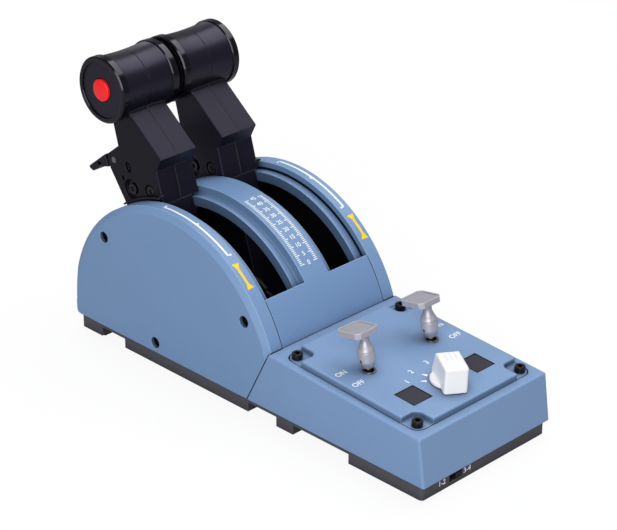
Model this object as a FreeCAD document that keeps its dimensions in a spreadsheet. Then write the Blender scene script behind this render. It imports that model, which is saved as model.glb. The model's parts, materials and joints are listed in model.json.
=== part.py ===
"""Throttle quadrant for a flight simulator: two thrust levers on a drum, with a control panel.

Millimetres. X is to the user's right, Y is forward (away from the user), Z is up.
The origin is on the table, under the middle of the footprint.
"""
import FreeCAD, Part
import math
import os
import Sketcher

from FreeCAD import Placement, Rotation, Vector

# Driving dimensions: name, value, what it is. Lengths in mm, angles in degrees.
DIMENSIONS = [
    ("body_width", 90.0, "across the blue shells"),
    ("console_length", 117.5, "front bottom edge to the foot of the slanted seam"),
    ("foot_height", 1.0, "rubber pad under the base"),
    ("base_height", 7.8, "dark base tray"),
    ("base_side_inset", 1.2, "base set in from the shells at the sides"),
    ("base_end_inset", 2.0, "base set in at front and back"),
    ("wall", 2.0, "shell wall"),
    ("seam", 0.2, "gap between two shells that meet"),
    ("pivot_z", 13.6, "lever shaft above the table"),
    ("drum_radius", 76.8, "top of the drum"),
    ("drum_front_angle", 70.45, "from upright to where the drum meets the panel"),
    ("seam_lean", 15.6723, "how far the seam between console and drum leans forward"),
    ("back_inset", 3.0, "back wall set in from the drum's rearmost line"),
    ("console_height", 24.6, "console front edge above the base"),
    ("front_lean", 3.45, "how far the console front leans back"),
    ("back_corner", 2.5, "round of the back bottom corner"),
    ("rim_bevel_width", 2.0, "bevel of the cover rim, along X"),
    ("rim_bevel_drop", 3.3, "bevel of the cover rim, towards the shaft"),
    ("band_thickness", 1.9, "top band of a side cover"),
    ("slot_front_angle", 51.7, "slot end towards the user"),
    ("slot_back_angle", 41.0, "slot end away from the user"),
    ("recess_inner_x", 8.1, "half width of the scale strip"),
    ("recess_outer_x", 35.6, "inner edge of a side cover's band"),
    ("slot_inner_x", 13.0, "slot edge at the scale strip"),
    ("slot_outer_x", 30.8, "slot edge at the side cover"),
    ("ledge_drop", 4.1, "ledges inside the recess, below the top of the drum"),
    ("ledge_depth", 5.1, "height of the ledge skirts"),
    ("shaft_radius", 3.0, "lever shaft"),
    ("running_gap", 0.06, "radial clearance of a shaft in its bore"),
    ("hub_radius", 9.0, "lever hub"),
    ("hub_inner_x", 11.3, "hub end nearest the middle"),
    ("hub_outer_x", 32.1, "hub end nearest the cover"),
    ("washer_thickness", 1.2, "friction washer"),
    ("lever_lean", 22.7, "levers at full thrust, forward of upright"),
    ("blade_gap", 0.7, "blade to slot edge"),
    ("arm_x", 20.8, "middle of a lever arm"),
    ("arm_width", 24.0, "lever arm across"),
    ("arm_clearance", 1.5, "lower end of the arm, above the ledges"),
    ("tongue_width", 6.8, "tongue of the lever core between the arm halves"),
    ("tongue_back", 6.0, "tongue, from the lever's middle line towards the user"),
    ("tongue_front", 3.0, "tongue, from the lever's middle line away from the user"),
    ("grip_x", 20.6, "middle of a grip"),
    ("grip_length", 37.6, "grip from end ring to end ring"),
    ("grip_rise", 61.7, "grip axis above the lower end of the arm"),
    ("grip_end_radius", 16.7, "grip shell beside the end rings"),
    ("grip_waist_radius", 16.0, "grip shell at its middle seam"),
    ("grip_ring_radius", 17.4, "glossy end ring"),
    ("grip_ring_width", 4.5, "glossy end ring along X"),
    ("grip_cap_radius", 14.5, "recessed end cap"),
    ("grip_cap_recess", 0.8, "cap set in from the ring's face"),
    ("red_button_radius", 5.8, "disconnect button"),
    ("red_button_travel", 1.5, "disconnect button"),
    ("latch_pin_b", 16.0, "latch pin ahead of the lever's middle line"),
    ("latch_pin_rise", 25.1, "latch pin above the lower end of the arm"),
    ("latch_pin_radius", 1.7, "latch pin"),
    ("latch_width", 15.6, "root of the reverse latch across"),
    ("panel_half_width", 40.8, "recess for the control panel"),
    ("panel_front_s", 4.7, "recess front edge, along the slope"),
    ("panel_back_margin", 6.2577, "recess back edge to the drum, along the slope"),
    ("panel_corner", 5.5, "corner round of the recess"),
    ("panel_gap", 0.5, "panel to recess wall"),
    ("panel_base_thickness", 2.0, "flange of the panel, flush with the console"),
    ("panel_rise", 2.9, "raised field of the panel"),
    ("panel_screw_x", 36.2, "panel screws from the middle"),
    ("panel_screw_inset", 4.6, "panel screws from the recess ends"),
    ("panel_notch_radius", 6.6, "clear space round a panel screw"),
    ("toggle_x", 22.0, "engine switches from the middle"),
    ("toggle_s", 54.2, "engine switches along the slope"),
    ("toggle_tilt", 13.5, "engine switch to each side of upright"),
    ("toggle_pull", 2.5, "lift of the locking sleeve"),
    ("button_x", 22.1, "square buttons from the middle"),
    ("button_s", 25.0, "square buttons along the slope"),
    ("button_size", 11.7, "square button"),
    ("button_gap", 0.45, "square button to its hole"),
    ("button_travel", 0.8, "square button"),
    ("knob_s", 23.0, "selector along the slope"),
    ("knob_radius", 9.0, "selector skirt"),
    ("knob_turn", 31.0, "selector turned to its right-hand stop"),
    ("board_drop", 9.1, "panel board below the console surface"),
    ("board_thickness", 1.6, "circuit boards"),
    ("slide_x", -20.7, "engine pair switch from the middle"),
    ("slide_width", 4.2, "its slider"),
    ("slide_travel", 3.4, "its travel"),
    ("slide_height", 3.4, "its slider"),
    ("recess_depth", 14.0, "side recesses under the base"),
    ("recess_height", 5.2, "side recesses under the base"),
]

# Sizes that follow from the ones above: name, sheet formula, what it is.
FOLLOWING = [
    ("drum_front_reach", "drum_radius * sin(drum_front_angle)", "shaft to the seam, along Y"),
    ("half_length", "(console_length + drum_front_reach - seam_lean + drum_radius - back_inset) / 2",
     "half of the body's length"),
    ("pivot_y", "half_length + back_inset - drum_radius", "lever shaft, from the middle of the body"),
    ("seam_foot_y", "console_length - half_length", "foot of the seam between console and drum"),
    ("panel_run", "console_length - seam_lean - front_lean",
     "console front edge to the drum, along Y"),
    ("panel_climb",
     "pivot_z + drum_radius * cos(drum_front_angle) - foot_height - base_height - console_height",
     "console front edge to the drum, along Z"),
    ("panel_back_s", "sqrt(panel_run * panel_run + panel_climb * panel_climb) - panel_back_margin",
     "recess back edge, along the slope"),
    ("ledge_radius", "drum_radius - ledge_drop", "ledges inside the recess"),
    ("arm_bottom_radius", "ledge_radius + arm_clearance", "lower end of the arm"),
    ("latch_pin_a", "arm_bottom_radius + latch_pin_rise", "latch pin above the shaft, along the lever"),
    ("grip_height", "arm_bottom_radius + grip_rise", "grip axis above the shaft, along the lever"),
]

document = FreeCAD.newDocument("throttle_quadrant")
sheet = document.addObject("Spreadsheet::Sheet", "dims")
for row, (name, value, note) in enumerate(DIMENSIONS, start=1):
    sheet.set(f"A{row}", name)
    sheet.set(f"B{row}", str(value))
    sheet.set(f"C{row}", note)
    sheet.setAlias(f"B{row}", name)
for row, (name, formula, note) in enumerate(FOLLOWING, start=len(DIMENSIONS) + 1):
    sheet.set(f"A{row}", name)
    sheet.set(f"B{row}", f"={formula}")
    sheet.set(f"C{row}", note)
    sheet.setAlias(f"B{row}", name)
document.recompute()


class Size:
    """A value together with the sheet formula that it comes from."""

    def __init__(self, value, formula):
        self.value = float(value)
        self.formula = formula

    def __add__(self, other):
        other = as_size(other)
        return Size(self.value + other.value, f"({self.formula} + {other.formula})")

    def __sub__(self, other):
        other = as_size(other)
        return Size(self.value - other.value, f"({self.formula} - {other.formula})")

    def __mul__(self, other):
        other = as_size(other)
        return Size(self.value * other.value, f"({self.formula} * {other.formula})")

    def __truediv__(self, other):
        other = as_size(other)
        return Size(self.value / other.value, f"({self.formula} / {other.formula})")

    def __radd__(self, other):
        return as_size(other) + self

    def __rsub__(self, other):
        return as_size(other) - self

    def __rmul__(self, other):
        return as_size(other) * self

    def __neg__(self):
        return Size(-self.value, f"(-{self.formula})")


def as_size(number):
    return number if isinstance(number, Size) else Size(number, repr(round(number, 6)))


def sine(angle):
    angle = as_size(angle)
    return Size(math.sin(math.radians(angle.value)), f"sin({angle.formula})")


def cosine(angle):
    angle = as_size(angle)
    return Size(math.cos(math.radians(angle.value)), f"cos({angle.formula})")


def root(number):
    return Size(math.sqrt(number.value), f"sqrt({number.formula})")


def arctangent(ratio):
    return Size(math.degrees(math.atan(ratio.value)), f"(atan({ratio.formula}) / 1 deg)")


def arcsine(ratio):
    return Size(math.degrees(math.asin(ratio.value)), f"(asin({ratio.formula}) / 1 deg)")


class Sheet:
    """Gives each named cell as a Size: dim.wall is the cell with the alias wall."""

    def __getattr__(self, name):
        return Size(sheet.get(name), f"dims.{name}")


dim = Sheet()


def bind(item, path, size):
    """Ties a property to the sheet; a plain number is left as it was set."""
    if "dims." in as_size(size).formula:
        item.setExpression(path, size.formula)


# Derived places that several pieces share.
half_width = dim.body_width / 2
half_length = dim.half_length
deck = dim.foot_height + dim.base_height
centre_half = dim.recess_outer_x - dim.seam
drum_front = (
    dim.pivot_y - dim.drum_radius * sine(dim.drum_front_angle),
    dim.pivot_z + dim.drum_radius * cosine(dim.drum_front_angle),
)
drum_back_z = dim.pivot_z + root(
    dim.drum_radius * dim.drum_radius - (half_length - dim.pivot_y) * (half_length - dim.pivot_y)
)
console_edge = (dim.front_lean - half_length, deck + dim.console_height)
panel_slope = arctangent((drum_front[1] - console_edge[1]) / (drum_front[0] - console_edge[0]))
blade_inner = dim.slot_inner_x + dim.blade_gap
blade_outer = dim.slot_outer_x - dim.blade_gap
grip_inner = dim.grip_x - dim.grip_length / 2
grip_outer = dim.grip_x + dim.grip_length / 2

# Frames that groups of pieces are modelled in: the panel's surface and the lever at rest.
AXIS_X = Vector(1, 0, 0)
ROW = "row"
PANEL = "panel"
LEVER = "lever"


def place(item, frame):
    """Moves a finished piece from the frame that it is drawn in to its place."""
    if frame == PANEL:
        item.Placement = Placement(
            Vector(0, console_edge[0].value, console_edge[1].value),
            Rotation(AXIS_X, panel_slope.value),
        )
        bind(item, "Placement.Base.y", console_edge[0])
        bind(item, "Placement.Base.z", console_edge[1])
        bind(item, "Placement.Rotation.Angle", panel_slope)
    if frame == LEVER:
        item.Placement = Placement(
            Vector(0, dim.pivot_y.value, dim.pivot_z.value),
            Rotation(-AXIS_X, dim.lever_lean.value),
        )
        bind(item, "Placement.Base.y", dim.pivot_y)
        bind(item, "Placement.Base.z", dim.pivot_z)
        bind(item, "Placement.Rotation.Angle", dim.lever_lean)


# ---------------------------------------------------------------- sketches and features

finished = {}


def start_body(label, frame=ROW):
    body = document.addObject("PartDesign::Body", label)
    body.Label = label
    place(body, frame)
    finished[label] = body
    return body


def sketch_on(body, role, offset=(0, 0, 0), tilt=0):
    """A sketch on one of the body's origin planes, moved by offset and turned about its X."""
    sketch = body.newObject("Sketcher::SketchObject", "outline")
    plane = next(item for item in body.Origin.OriginFeatures if item.Role == role)
    sketch.AttachmentSupport = [(plane, "")]
    sketch.MapMode = "FlatFace"
    moved = [as_size(value) for value in offset]
    turn = as_size(tilt)
    sketch.AttachmentOffset = Placement(
        Vector(*[value.value for value in moved]), Rotation(AXIS_X, turn.value)
    )
    for axis, value in zip("xyz", moved):
        bind(sketch, f"AttachmentOffset.Base.{axis}", value)
    bind(sketch, "AttachmentOffset.Rotation.Angle", turn)
    return sketch


def draw(sketch, loops):
    """Draws closed loops and ties every corner, centre and radius to its size.

    A loop is ("circle", x, y, radius) or a list of corners. A corner is (x, y), or
    (x, y, radius, centre_x, centre_y, turn) where an arc leads on from it to the next
    corner: turn is 1 for an anticlockwise arc and -1 for a clockwise one.
    """
    for loop in loops:
        if loop[0] == "circle":
            draw_circle(sketch, *loop[1:])
        else:
            draw_outline(sketch, loop)


def tie(sketch, constraints):
    """Adds (constraint, size) pairs and binds each to its size."""
    first = sketch.ConstraintCount
    sketch.addConstraint([constraint for constraint, size in constraints])
    for index, (constraint, size) in enumerate(constraints, start=first):
        if size is not None:
            bind(sketch, f"Constraints[{index}]", size)


def point_ties(geometry, position, x, y):
    x = as_size(x)
    y = as_size(y)
    return [
        (Sketcher.Constraint("DistanceX", -1, 1, geometry, position, x.value), x),
        (Sketcher.Constraint("DistanceY", -1, 1, geometry, position, y.value), y),
    ]


def draw_circle(sketch, x, y, radius):
    x = as_size(x)
    y = as_size(y)
    radius = as_size(radius)
    circle = Part.Circle(Vector(x.value, y.value, 0), Vector(0, 0, 1), radius.value)
    index = sketch.addGeometry(circle)
    ties = point_ties(index, 3, x, y)
    ties.append((Sketcher.Constraint("Radius", index, radius.value), radius))
    tie(sketch, ties)


def draw_outline(sketch, corners):
    first = sketch.GeometryCount
    pieces = []
    ends = []
    ties = []
    for index, corner in enumerate(corners):
        following = corners[(index + 1) % len(corners)]
        start = Vector(as_size(corner[0]).value, as_size(corner[1]).value, 0)
        end = Vector(as_size(following[0]).value, as_size(following[1]).value, 0)
        if len(corner) == 2:
            pieces.append(Part.LineSegment(start, end))
            ends.append((1, 2))
            continue
        radius, centre_x, centre_y = [as_size(value) for value in corner[2:5]]
        centre = Vector(centre_x.value, centre_y.value, 0)
        angles = [math.atan2(point.y - centre.y, point.x - centre.x) for point in (start, end)]
        if corner[5] < 0:
            angles.reverse()
        circle = Part.Circle(centre, Vector(0, 0, 1), radius.value)
        pieces.append(Part.ArcOfCircle(circle, angles[0], angles[1]))
        ends.append((1, 2) if corner[5] > 0 else (2, 1))
        ties.append((Sketcher.Constraint("Radius", first + index, radius.value), radius))
    sketch.addGeometry(pieces)
    for index, corner in enumerate(corners):
        before = (index - 1) % len(corners)
        joint = Sketcher.Constraint(
            "Coincident", first + before, ends[before][1], first + index, ends[index][0]
        )
        ties.append((joint, None))
        ties.extend(point_ties(first + index, ends[index][0], corner[0], corner[1]))
    tie(sketch, ties)


def rectangle(x0, y0, x1, y1):
    return [(x0, y0), (x1, y0), (x1, y1), (x0, y1)]


def rounded(x0, y0, x1, y1, radius):
    """A rectangle with round corners, from its lower left to its upper right."""
    return [
        (x0 + radius, y0),
        (x1 - radius, y0, radius, x1 - radius, y0 + radius, 1),
        (x1, y0 + radius),
        (x1, y1 - radius, radius, x1 - radius, y1 - radius, 1),
        (x1 - radius, y1),
        (x0 + radius, y1, radius, x0 + radius, y1 - radius, 1),
        (x0, y1 - radius),
        (x0, y0 + radius, radius, x0 + radius, y0 + radius, 1),
    ]


def extrude(body, kind, role, low, high, loops, frame=None):
    """A Pad or Pocket between two levels along the plane's axis.

    frame=(y, z, tilt) draws on the XY plane moved there and tilted about X; the levels
    are then measured along the tilted normal.
    """
    low = as_size(low)
    high = as_size(high)
    if frame:
        tilt = frame[2]
        offset = (0, frame[0] - sine(tilt) * low, frame[1] + cosine(tilt) * low)
        sketch = sketch_on(body, role, offset, tilt)
    elif role == "XZ_Plane":
        sketch = sketch_on(body, role, (0, 0, -high))
    else:
        sketch = sketch_on(body, role, (0, 0, low))
    draw(sketch, loops)
    feature = body.newObject(f"PartDesign::{kind}", kind.lower())
    feature.Profile = sketch
    feature.Length = (high - low).value
    bind(feature, "Length", high - low)
    feature.Reversed = kind == "Pocket"
    return settle(body, feature, kind)


def pad(body, role, low, high, loops, frame=None):
    return extrude(body, "Pad", role, low, high, loops, frame)


def pocket(body, role, low, high, loops, frame=None):
    return extrude(body, "Pocket", role, low, high, loops, frame)


def revolve(body, kind, start_angle, sweep, loops, centre=(0, 0)):
    """A Revolution or Groove about X through centre=(y, z); loops are drawn as (x, radius).

    start_angle is measured forward from upright, and the sweep runs back towards the user.
    """
    sketch = sketch_on(body, "XZ_Plane", (0, centre[1], -as_size(centre[0])), -as_size(start_angle))
    draw(sketch, loops)
    feature = body.newObject(f"PartDesign::{kind}", kind.lower())
    feature.Profile = sketch
    feature.ReferenceAxis = (sketch, ["H_Axis"])
    feature.Angle = as_size(sweep).value
    bind(feature, "Angle", as_size(sweep))
    return settle(body, feature, kind)


def lathe(body, loops, centre=(0, 0), kind="Revolution"):
    """A full turn about the frame's Z axis through centre; loops are drawn as (radius, z)."""
    sketch = sketch_on(body, "XZ_Plane", (centre[0], 0, -as_size(centre[1])))
    draw(sketch, loops)
    feature = body.newObject(f"PartDesign::{kind}", kind.lower())
    feature.Profile = sketch
    feature.ReferenceAxis = (sketch, ["V_Axis"])
    feature.Angle = 360.0
    return settle(body, feature, kind)


def settle(body, feature, kind):
    """Rebuilds and makes sure that the feature did what it is for."""
    before = body.Shape.Volume if body.Shape and body.Shape.Solids else 0.0
    document.recompute()
    if "Invalid" in feature.State or feature.Shape.isNull():
        raise RuntimeError(f"{body.Label}: {feature.Name} failed")
    after = feature.Shape.Volume
    grows = kind in ("Pad", "Revolution")
    if (after - before) * (1 if grows else -1) <= 1e-6:
        raise RuntimeError(f"{body.Label}: {feature.Name} changed nothing")
    return feature


def edge_names(shape, test):
    return [f"Edge{index}" for index, edge in enumerate(shape.Edges, start=1) if test(edge)]


def soften(body, kind, size, test):
    """A Fillet or Chamfer of the body's edges that pass the test."""
    base = body.Tip
    names = edge_names(base.Shape, test)
    if not names:
        raise RuntimeError(f"{body.Label}: no edge to {kind.lower()}")
    feature = body.newObject(f"PartDesign::{kind}", kind.lower())
    feature.Base = (base, names)
    size = as_size(size)
    path = "Radius" if kind == "Fillet" else "Size"
    setattr(feature, path, size.value)
    bind(feature, path, size)
    document.recompute()
    if "Invalid" in feature.State or feature.Shape.isNull():
        raise RuntimeError(f"{body.Label}: {feature.Name} failed")
    return feature


def runs_along(edge, axis, length=0.0):
    """True for a straight edge along the axis that is longer than length."""
    if edge.Curve.TypeId != "Part::GeomLine" or edge.Length <= length:
        return False
    direction = edge.tangentAt(edge.FirstParameter)
    return abs(abs(direction.dot(axis)) - 1) < 1e-6


def span(side, low, high):
    """The two levels on the right-hand side, or their mirror image on the left."""
    return (low, high) if side > 0 else (-as_size(high), -as_size(low))


def group(label, shapes, frame=ROW):
    """Several separate solids of one kind in one node."""
    item = document.addObject("Part::Feature", label)
    item.Label = label
    item.Shape = Part.makeCompound(shapes)
    place(item, frame)
    finished[label] = item
    return item


def flip(loops, side):
    """Loops drawn for the right-hand side, mirrored for the left-hand one."""
    if side > 0:
        return loops
    mirrored = []
    for loop in loops:
        if loop[0] == "circle":
            mirrored.append(("circle", -as_size(loop[1])) + tuple(loop[2:]))
            continue
        corners = []
        for corner in loop:
            if len(corner) == 2:
                corners.append((-as_size(corner[0]), corner[1]))
            else:
                x, y, radius, centre_x, centre_y, turn = corner
                corners.append((-as_size(x), y, radius, -as_size(centre_x), centre_y, -turn))
        mirrored.append(corners)
    return mirrored


def number(value):
    return value.value if isinstance(value, Size) else float(value)


def rod(radius, low, high, axis, y=0.0, z=0.0):
    """A plain cylinder; axis is "x" (centre y, z), "y" (centre x, z) or "z" (centre x, y)."""
    radius, low, high, y, z = [number(value) for value in (radius, low, high, y, z)]
    if low > high:
        low, high = high, low
    places = {"x": (low, y, z), "y": (y, low, z), "z": (y, z, low)}
    directions = {"x": (1, 0, 0), "y": (0, 1, 0), "z": (0, 0, 1)}
    return Part.makeCylinder(radius, high - low, Vector(*places[axis]), Vector(*directions[axis]))


def block(x0, x1, y0, y1, z0, z1):
    x0, x1, y0, y1, z0, z1 = [number(value) for value in (x0, x1, y0, y1, z0, z1)]
    low = Vector(min(x0, x1), min(y0, y1), min(z0, z1))
    return Part.makeBox(abs(x1 - x0), abs(y1 - y0), abs(z1 - z0), low)


# ------------------------------------------------------------------- fixed pieces

BASE_SCREWS = [
    (half_width - 5.5, 24.0 - half_length),
    (half_width - 5.5, dim.seam_foot_y - 24.5),
    (20.0, half_length - 5.8),
]
BASE_RECESSES = [(-75.0, -37.5), (-26.0, -6.0), (87.0, 105.5)]
SCREW_HEAD = 2.9
SCREW_SHANK = 1.5


def inside_drum(depth, angle):
    """(y, z) at a depth below the top of the drum and an angle forward of upright."""
    radius = dim.drum_radius - depth
    return dim.pivot_y + sine(angle) * radius, dim.pivot_z + cosine(angle) * radius


COVER_SCREWS = [
    inside_drum(8.84, 45.775),
    inside_drum(9.9, -55.9),
    (dim.pivot_y + 11.2, dim.pivot_z + 0.6),
]
base_side = half_width - dim.base_side_inset
base_end = half_length - dim.base_end_inset
floor = dim.foot_height + dim.wall
slide_half = (dim.slide_width + dim.slide_travel) / 2 + 0.3
slide_z = deck - 3.4
cover_inner = dim.recess_outer_x
panel_frame = (console_edge[0], console_edge[1], panel_slope)


def both_sides(points):
    return [(x * side, y) for x, y in points for side in (-1, 1)]


def build_base():
    body = start_body("base_housing")
    pad(body, "XY_Plane", dim.foot_height, deck, [rectangle(-base_side, -base_end, base_side, base_end)])
    soften(body, "Fillet", 2.0, lambda edge: runs_along(edge, Vector(0, 0, 1)))
    end = base_end - 2.5
    side = base_side - 2.8
    pocket(body, "XY_Plane", floor, deck, [rectangle(-27, -end, 27, end)])
    for front, back in [(-end, -77), (-4, 85)]:
        pocket(body, "XY_Plane", floor, deck, [rectangle(-side, front, side, back)])
    inner = base_side - dim.recess_depth
    for front, back in BASE_RECESSES:
        for side_sign in (-1, 1):
            low, high = span(side_sign, inner, base_side)
            pocket(body, "XY_Plane", dim.foot_height, dim.foot_height + dim.recess_height,
                   [rectangle(low, front, high, back)])
    for x, y in both_sides([(22.0, -88.0), (22.0, -44.0)]):
        pad(body, "XY_Plane", floor - 0.5, deck, [("circle", x, y, 2.5)])
    for x, y in both_sides([BASE_SCREWS[0]]):
        low, high = (x - 4.0, x + 3.0) if number(x) > 0 else (x - 3.0, x + 4.0)
        pad(body, "XY_Plane", floor - 0.5, deck, [rectangle(low, y - 4.0, high, y + 4.0)])
    for x, y in both_sides([BASE_SCREWS[2]]):
        pad(body, "XY_Plane", floor - 0.5, deck, [rectangle(x - 4.0, y - 4.0, x + 4.0, y + 2.0)])
    holes = both_sides(BASE_SCREWS)
    pocket(body, "XY_Plane", dim.foot_height, deck, [("circle", x, y, SCREW_SHANK + 0.1) for x, y in holes])
    pocket(body, "XY_Plane", dim.foot_height, dim.foot_height + 2.6,
           [("circle", x, y, SCREW_HEAD + 0.2) for x, y in holes])
    pocket(body, "XZ_Plane", -base_end, -end, [
        rectangle(dim.slide_x - slide_half, slide_z - 2.1, dim.slide_x + slide_half, slide_z + 2.1),
    ])


def build_console():
    body = start_body("console_shell")
    front_foot = (-half_length, deck)
    back_foot = (dim.seam_foot_y, deck)
    pad(body, "YZ_Plane", -half_width, half_width, [
        [front_foot, console_edge, drum_front, back_foot],
    ])

    def outside(edge):
        middle = edge.CenterOfMass
        at_side = abs(abs(middle.x) - half_width.value) < 1e-3
        along_top = at_side and middle.z > console_edge[1].value and middle.y < -40
        along_front = at_side and middle.y < -119
        across_front = abs(middle.x) < 1 and abs(middle.z - console_edge[1].value) < 1e-3
        return along_top or along_front or across_front

    soften(body, "Fillet", 1.2, outside)
    top = 4.0
    inner = half_width - dim.wall
    lean = dim.front_lean / dim.console_height
    slope = (drum_front[1] - console_edge[1]) / (drum_front[0] - console_edge[0])
    front_y = console_edge[0] + 3.0
    back_y = dim.seam_foot_y + 20
    pocket(body, "YZ_Plane", -inner, inner, [[
        (3.0 - half_length, deck - 0.001),
        (front_y, console_edge[1] - top),
        (back_y, console_edge[1] - top + slope * (back_y - console_edge[0])),
        (back_y, deck - 0.001),
    ]])
    half = dim.panel_half_width
    pocket(body, "XY_Plane", -dim.panel_base_thickness, 3, [
        rounded(-half, dim.panel_front_s, half, dim.panel_back_s, dim.panel_corner),
    ], panel_frame)
    opening = rounded(-31.5, 12.5, 31.5, dim.panel_back_s - 7.8, as_size(3.0))
    pocket(body, "XY_Plane", -8, 1, [opening], panel_frame)
    for x, s in panel_screw_places():
        pad(body, "XY_Plane", -9, -3, [("circle", x, s, 3.6)], panel_frame)
        pocket(body, "XY_Plane", -10, 0, [("circle", x, s, SCREW_SHANK + 0.05)], panel_frame)
    for x, y in both_sides(BASE_SCREWS[:2]):
        pad(body, "XY_Plane", deck, 20, [("circle", x, y, 4.0)])
        pocket(body, "XY_Plane", deck, 18, [("circle", x, y, SCREW_SHANK + 0.05)])


def panel_screw_places():
    front = dim.panel_front_s + dim.panel_screw_inset
    back = dim.panel_back_s - dim.panel_screw_inset
    return [(x, s) for x in (-dim.panel_screw_x, dim.panel_screw_x) for s in (front, back)]


def build_side_cover(side):
    body = start_body("right_side_cover" if side > 0 else "left_side_cover")
    round_off = dim.back_corner
    back = half_length - round_off
    gap = dim.seam * 0.6
    pivot = (dim.pivot_y, dim.pivot_z)
    front = (drum_front[0] + gap, drum_front[1] + 0.001)
    # The seam is moved forward by the gap, so the arc starts a little higher up.
    rise = root(dim.drum_radius * dim.drum_radius - (dim.pivot_y - front[0]) * (dim.pivot_y - front[0]))
    profile = [
        (dim.seam_foot_y + gap, deck),
        (back, deck, round_off, back, deck + round_off, 1),
        (half_length, deck + round_off),
        (half_length, drum_back_z, dim.drum_radius, pivot[0], pivot[1], 1),
        (front[0], dim.pivot_z + rise),
    ]
    low, high = span(side, cover_inner, half_width)
    pad(body, "YZ_Plane", low, high, [profile])
    inside = dim.drum_radius - dim.band_thickness
    back_inner = half_length - dim.wall
    back_rise = root(inside * inside - (back_inner - dim.pivot_y) * (back_inner - dim.pivot_y))
    front_inner = drum_front[0] - 2
    front_rise = root(inside * inside - (dim.pivot_y - front_inner) * (dim.pivot_y - front_inner))
    low, high = span(side, cover_inner, half_width - dim.wall)
    pocket(body, "YZ_Plane", low, high, [[
        (front_inner, deck - 1),
        (back_inner, deck - 1),
        (back_inner, dim.pivot_z + back_rise, inside, pivot[0], pivot[1], 1),
        (front_inner, dim.pivot_z + front_rise),
    ]])
    # The band's inner wall goes down to the ledge beside it.
    wall = [rectangle(cover_inner, dim.ledge_radius - 1.0, cover_inner + 1.6, inside + 0.5)]
    sweep = dim.slot_front_angle + dim.slot_back_angle + 3
    revolve(body, "Revolution", dim.slot_back_angle + 1.5, sweep, flip(wall, side), pivot)
    rim = half_width - dim.rim_bevel_width
    revolve(body, "Groove", 88, 160, flip([[
        (rim, dim.drum_radius),
        (half_width, dim.drum_radius - dim.rim_bevel_drop),
        (half_width + 1, dim.drum_radius - dim.rim_bevel_drop),
        (half_width + 1, dim.drum_radius + 3),
        (rim, dim.drum_radius + 3),
    ]], side), pivot)
    start = centre_half + 1.4
    for y, z in COVER_SCREWS:
        pad(body, "YZ_Plane", *span(side, start, half_width - dim.wall + 0.5), [("circle", y, z, 4.2)])
        pocket(body, "YZ_Plane", *span(side, start + 2.2, half_width), [("circle", y, z, SCREW_HEAD + 0.2)])
        pocket(body, "YZ_Plane", *span(side, start, half_width), [("circle", y, z, SCREW_SHANK + 0.1)])


def build_centre_body():
    body = start_body("centre_body")
    pivot = (dim.pivot_y, dim.pivot_z)
    top = dim.drum_radius
    skin = top - dim.band_thickness
    low = dim.ledge_radius - dim.ledge_depth
    ledge = dim.ledge_radius
    front_end = dim.slot_front_angle
    back_end = dim.slot_back_angle
    back_limit = arcsine((half_length - pivot[0]) / top)
    wide = centre_half
    inner = dim.slot_inner_x
    strip = dim.recess_inner_x
    # The scale strip with its ledges, then the slot ends and the flush caps beyond them.
    revolve(body, "Revolution", back_end + 2, back_end + front_end + 4, [[
        (-inner, low), (-inner, ledge), (-strip - 0.7, ledge), (-strip - 0.4, ledge + 0.8),
        (-strip, top), (strip, top), (strip + 0.4, ledge + 0.8), (strip + 0.7, ledge),
        (inner, ledge), (inner, low), (inner - 2, low), (inner - 2, ledge - 2),
        (strip - 1, ledge - 2), (strip - 1, skin), (-strip + 1, skin), (-strip + 1, ledge - 2),
        (-inner + 2, ledge - 2), (-inner + 2, low),
    ]], pivot)
    revolve(body, "Revolution", back_end + 3, 3, [rectangle(-wide, low, wide, top)], pivot)
    revolve(body, "Revolution", -front_end, 3, [rectangle(-wide, low, wide, top)], pivot)
    revolve(body, "Revolution", back_limit, back_limit - back_end - 1,
            [rectangle(-wide, skin, wide, top)], pivot)
    revolve(body, "Revolution", -front_end - 1, dim.drum_front_angle - front_end - 1.2,
            [rectangle(-wide, skin, wide, top)], pivot)
    outer = dim.slot_outer_x
    for side in (-1, 1):
        revolve(body, "Revolution", back_end + 2, back_end + front_end + 4, flip([[
            (outer, low), (outer, ledge), (wide, ledge), (wide, ledge - 2),
            (outer + 2, ledge - 2), (outer + 2, low),
        ]], side), pivot)
    round_off = dim.back_corner
    back = half_length - round_off
    back_inner = half_length - dim.wall
    back_rise = root(skin * skin - (back_inner - dim.pivot_y) * (back_inner - dim.pivot_y))
    pad(body, "YZ_Plane", -wide, wide, [[
        (back - 2, deck),
        (back, deck, round_off, back, deck + round_off, 1),
        (half_length, deck + round_off),
        (half_length, drum_back_z),
        (back_inner, dim.pivot_z + back_rise),
        (back_inner, deck + dim.wall),
        (back - 2, deck + dim.wall),
    ]])
    for side in (-1, 1):
        for y, z in COVER_SCREWS[:2]:
            pad(body, "YZ_Plane", *span(side, wide - 7, wide + 1.2), [("circle", y, z, 4.0)])
            pocket(body, "YZ_Plane", *span(side, wide - 5, wide + 1.2),
                   [("circle", y, z, SCREW_SHANK + 0.05)])
    for x, y in both_sides(BASE_SCREWS[2:]):
        pad(body, "XY_Plane", deck, 20, [("circle", x, y, 4.0)])
        pocket(body, "XY_Plane", deck, 18, [("circle", x, y, SCREW_SHANK + 0.05)])
    pocket(body, "XZ_Plane", back_inner - 1, half_length + 1,
           [rounded(-4.6, 18.3, 4.6, 21.7, as_size(1.6))])


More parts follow.
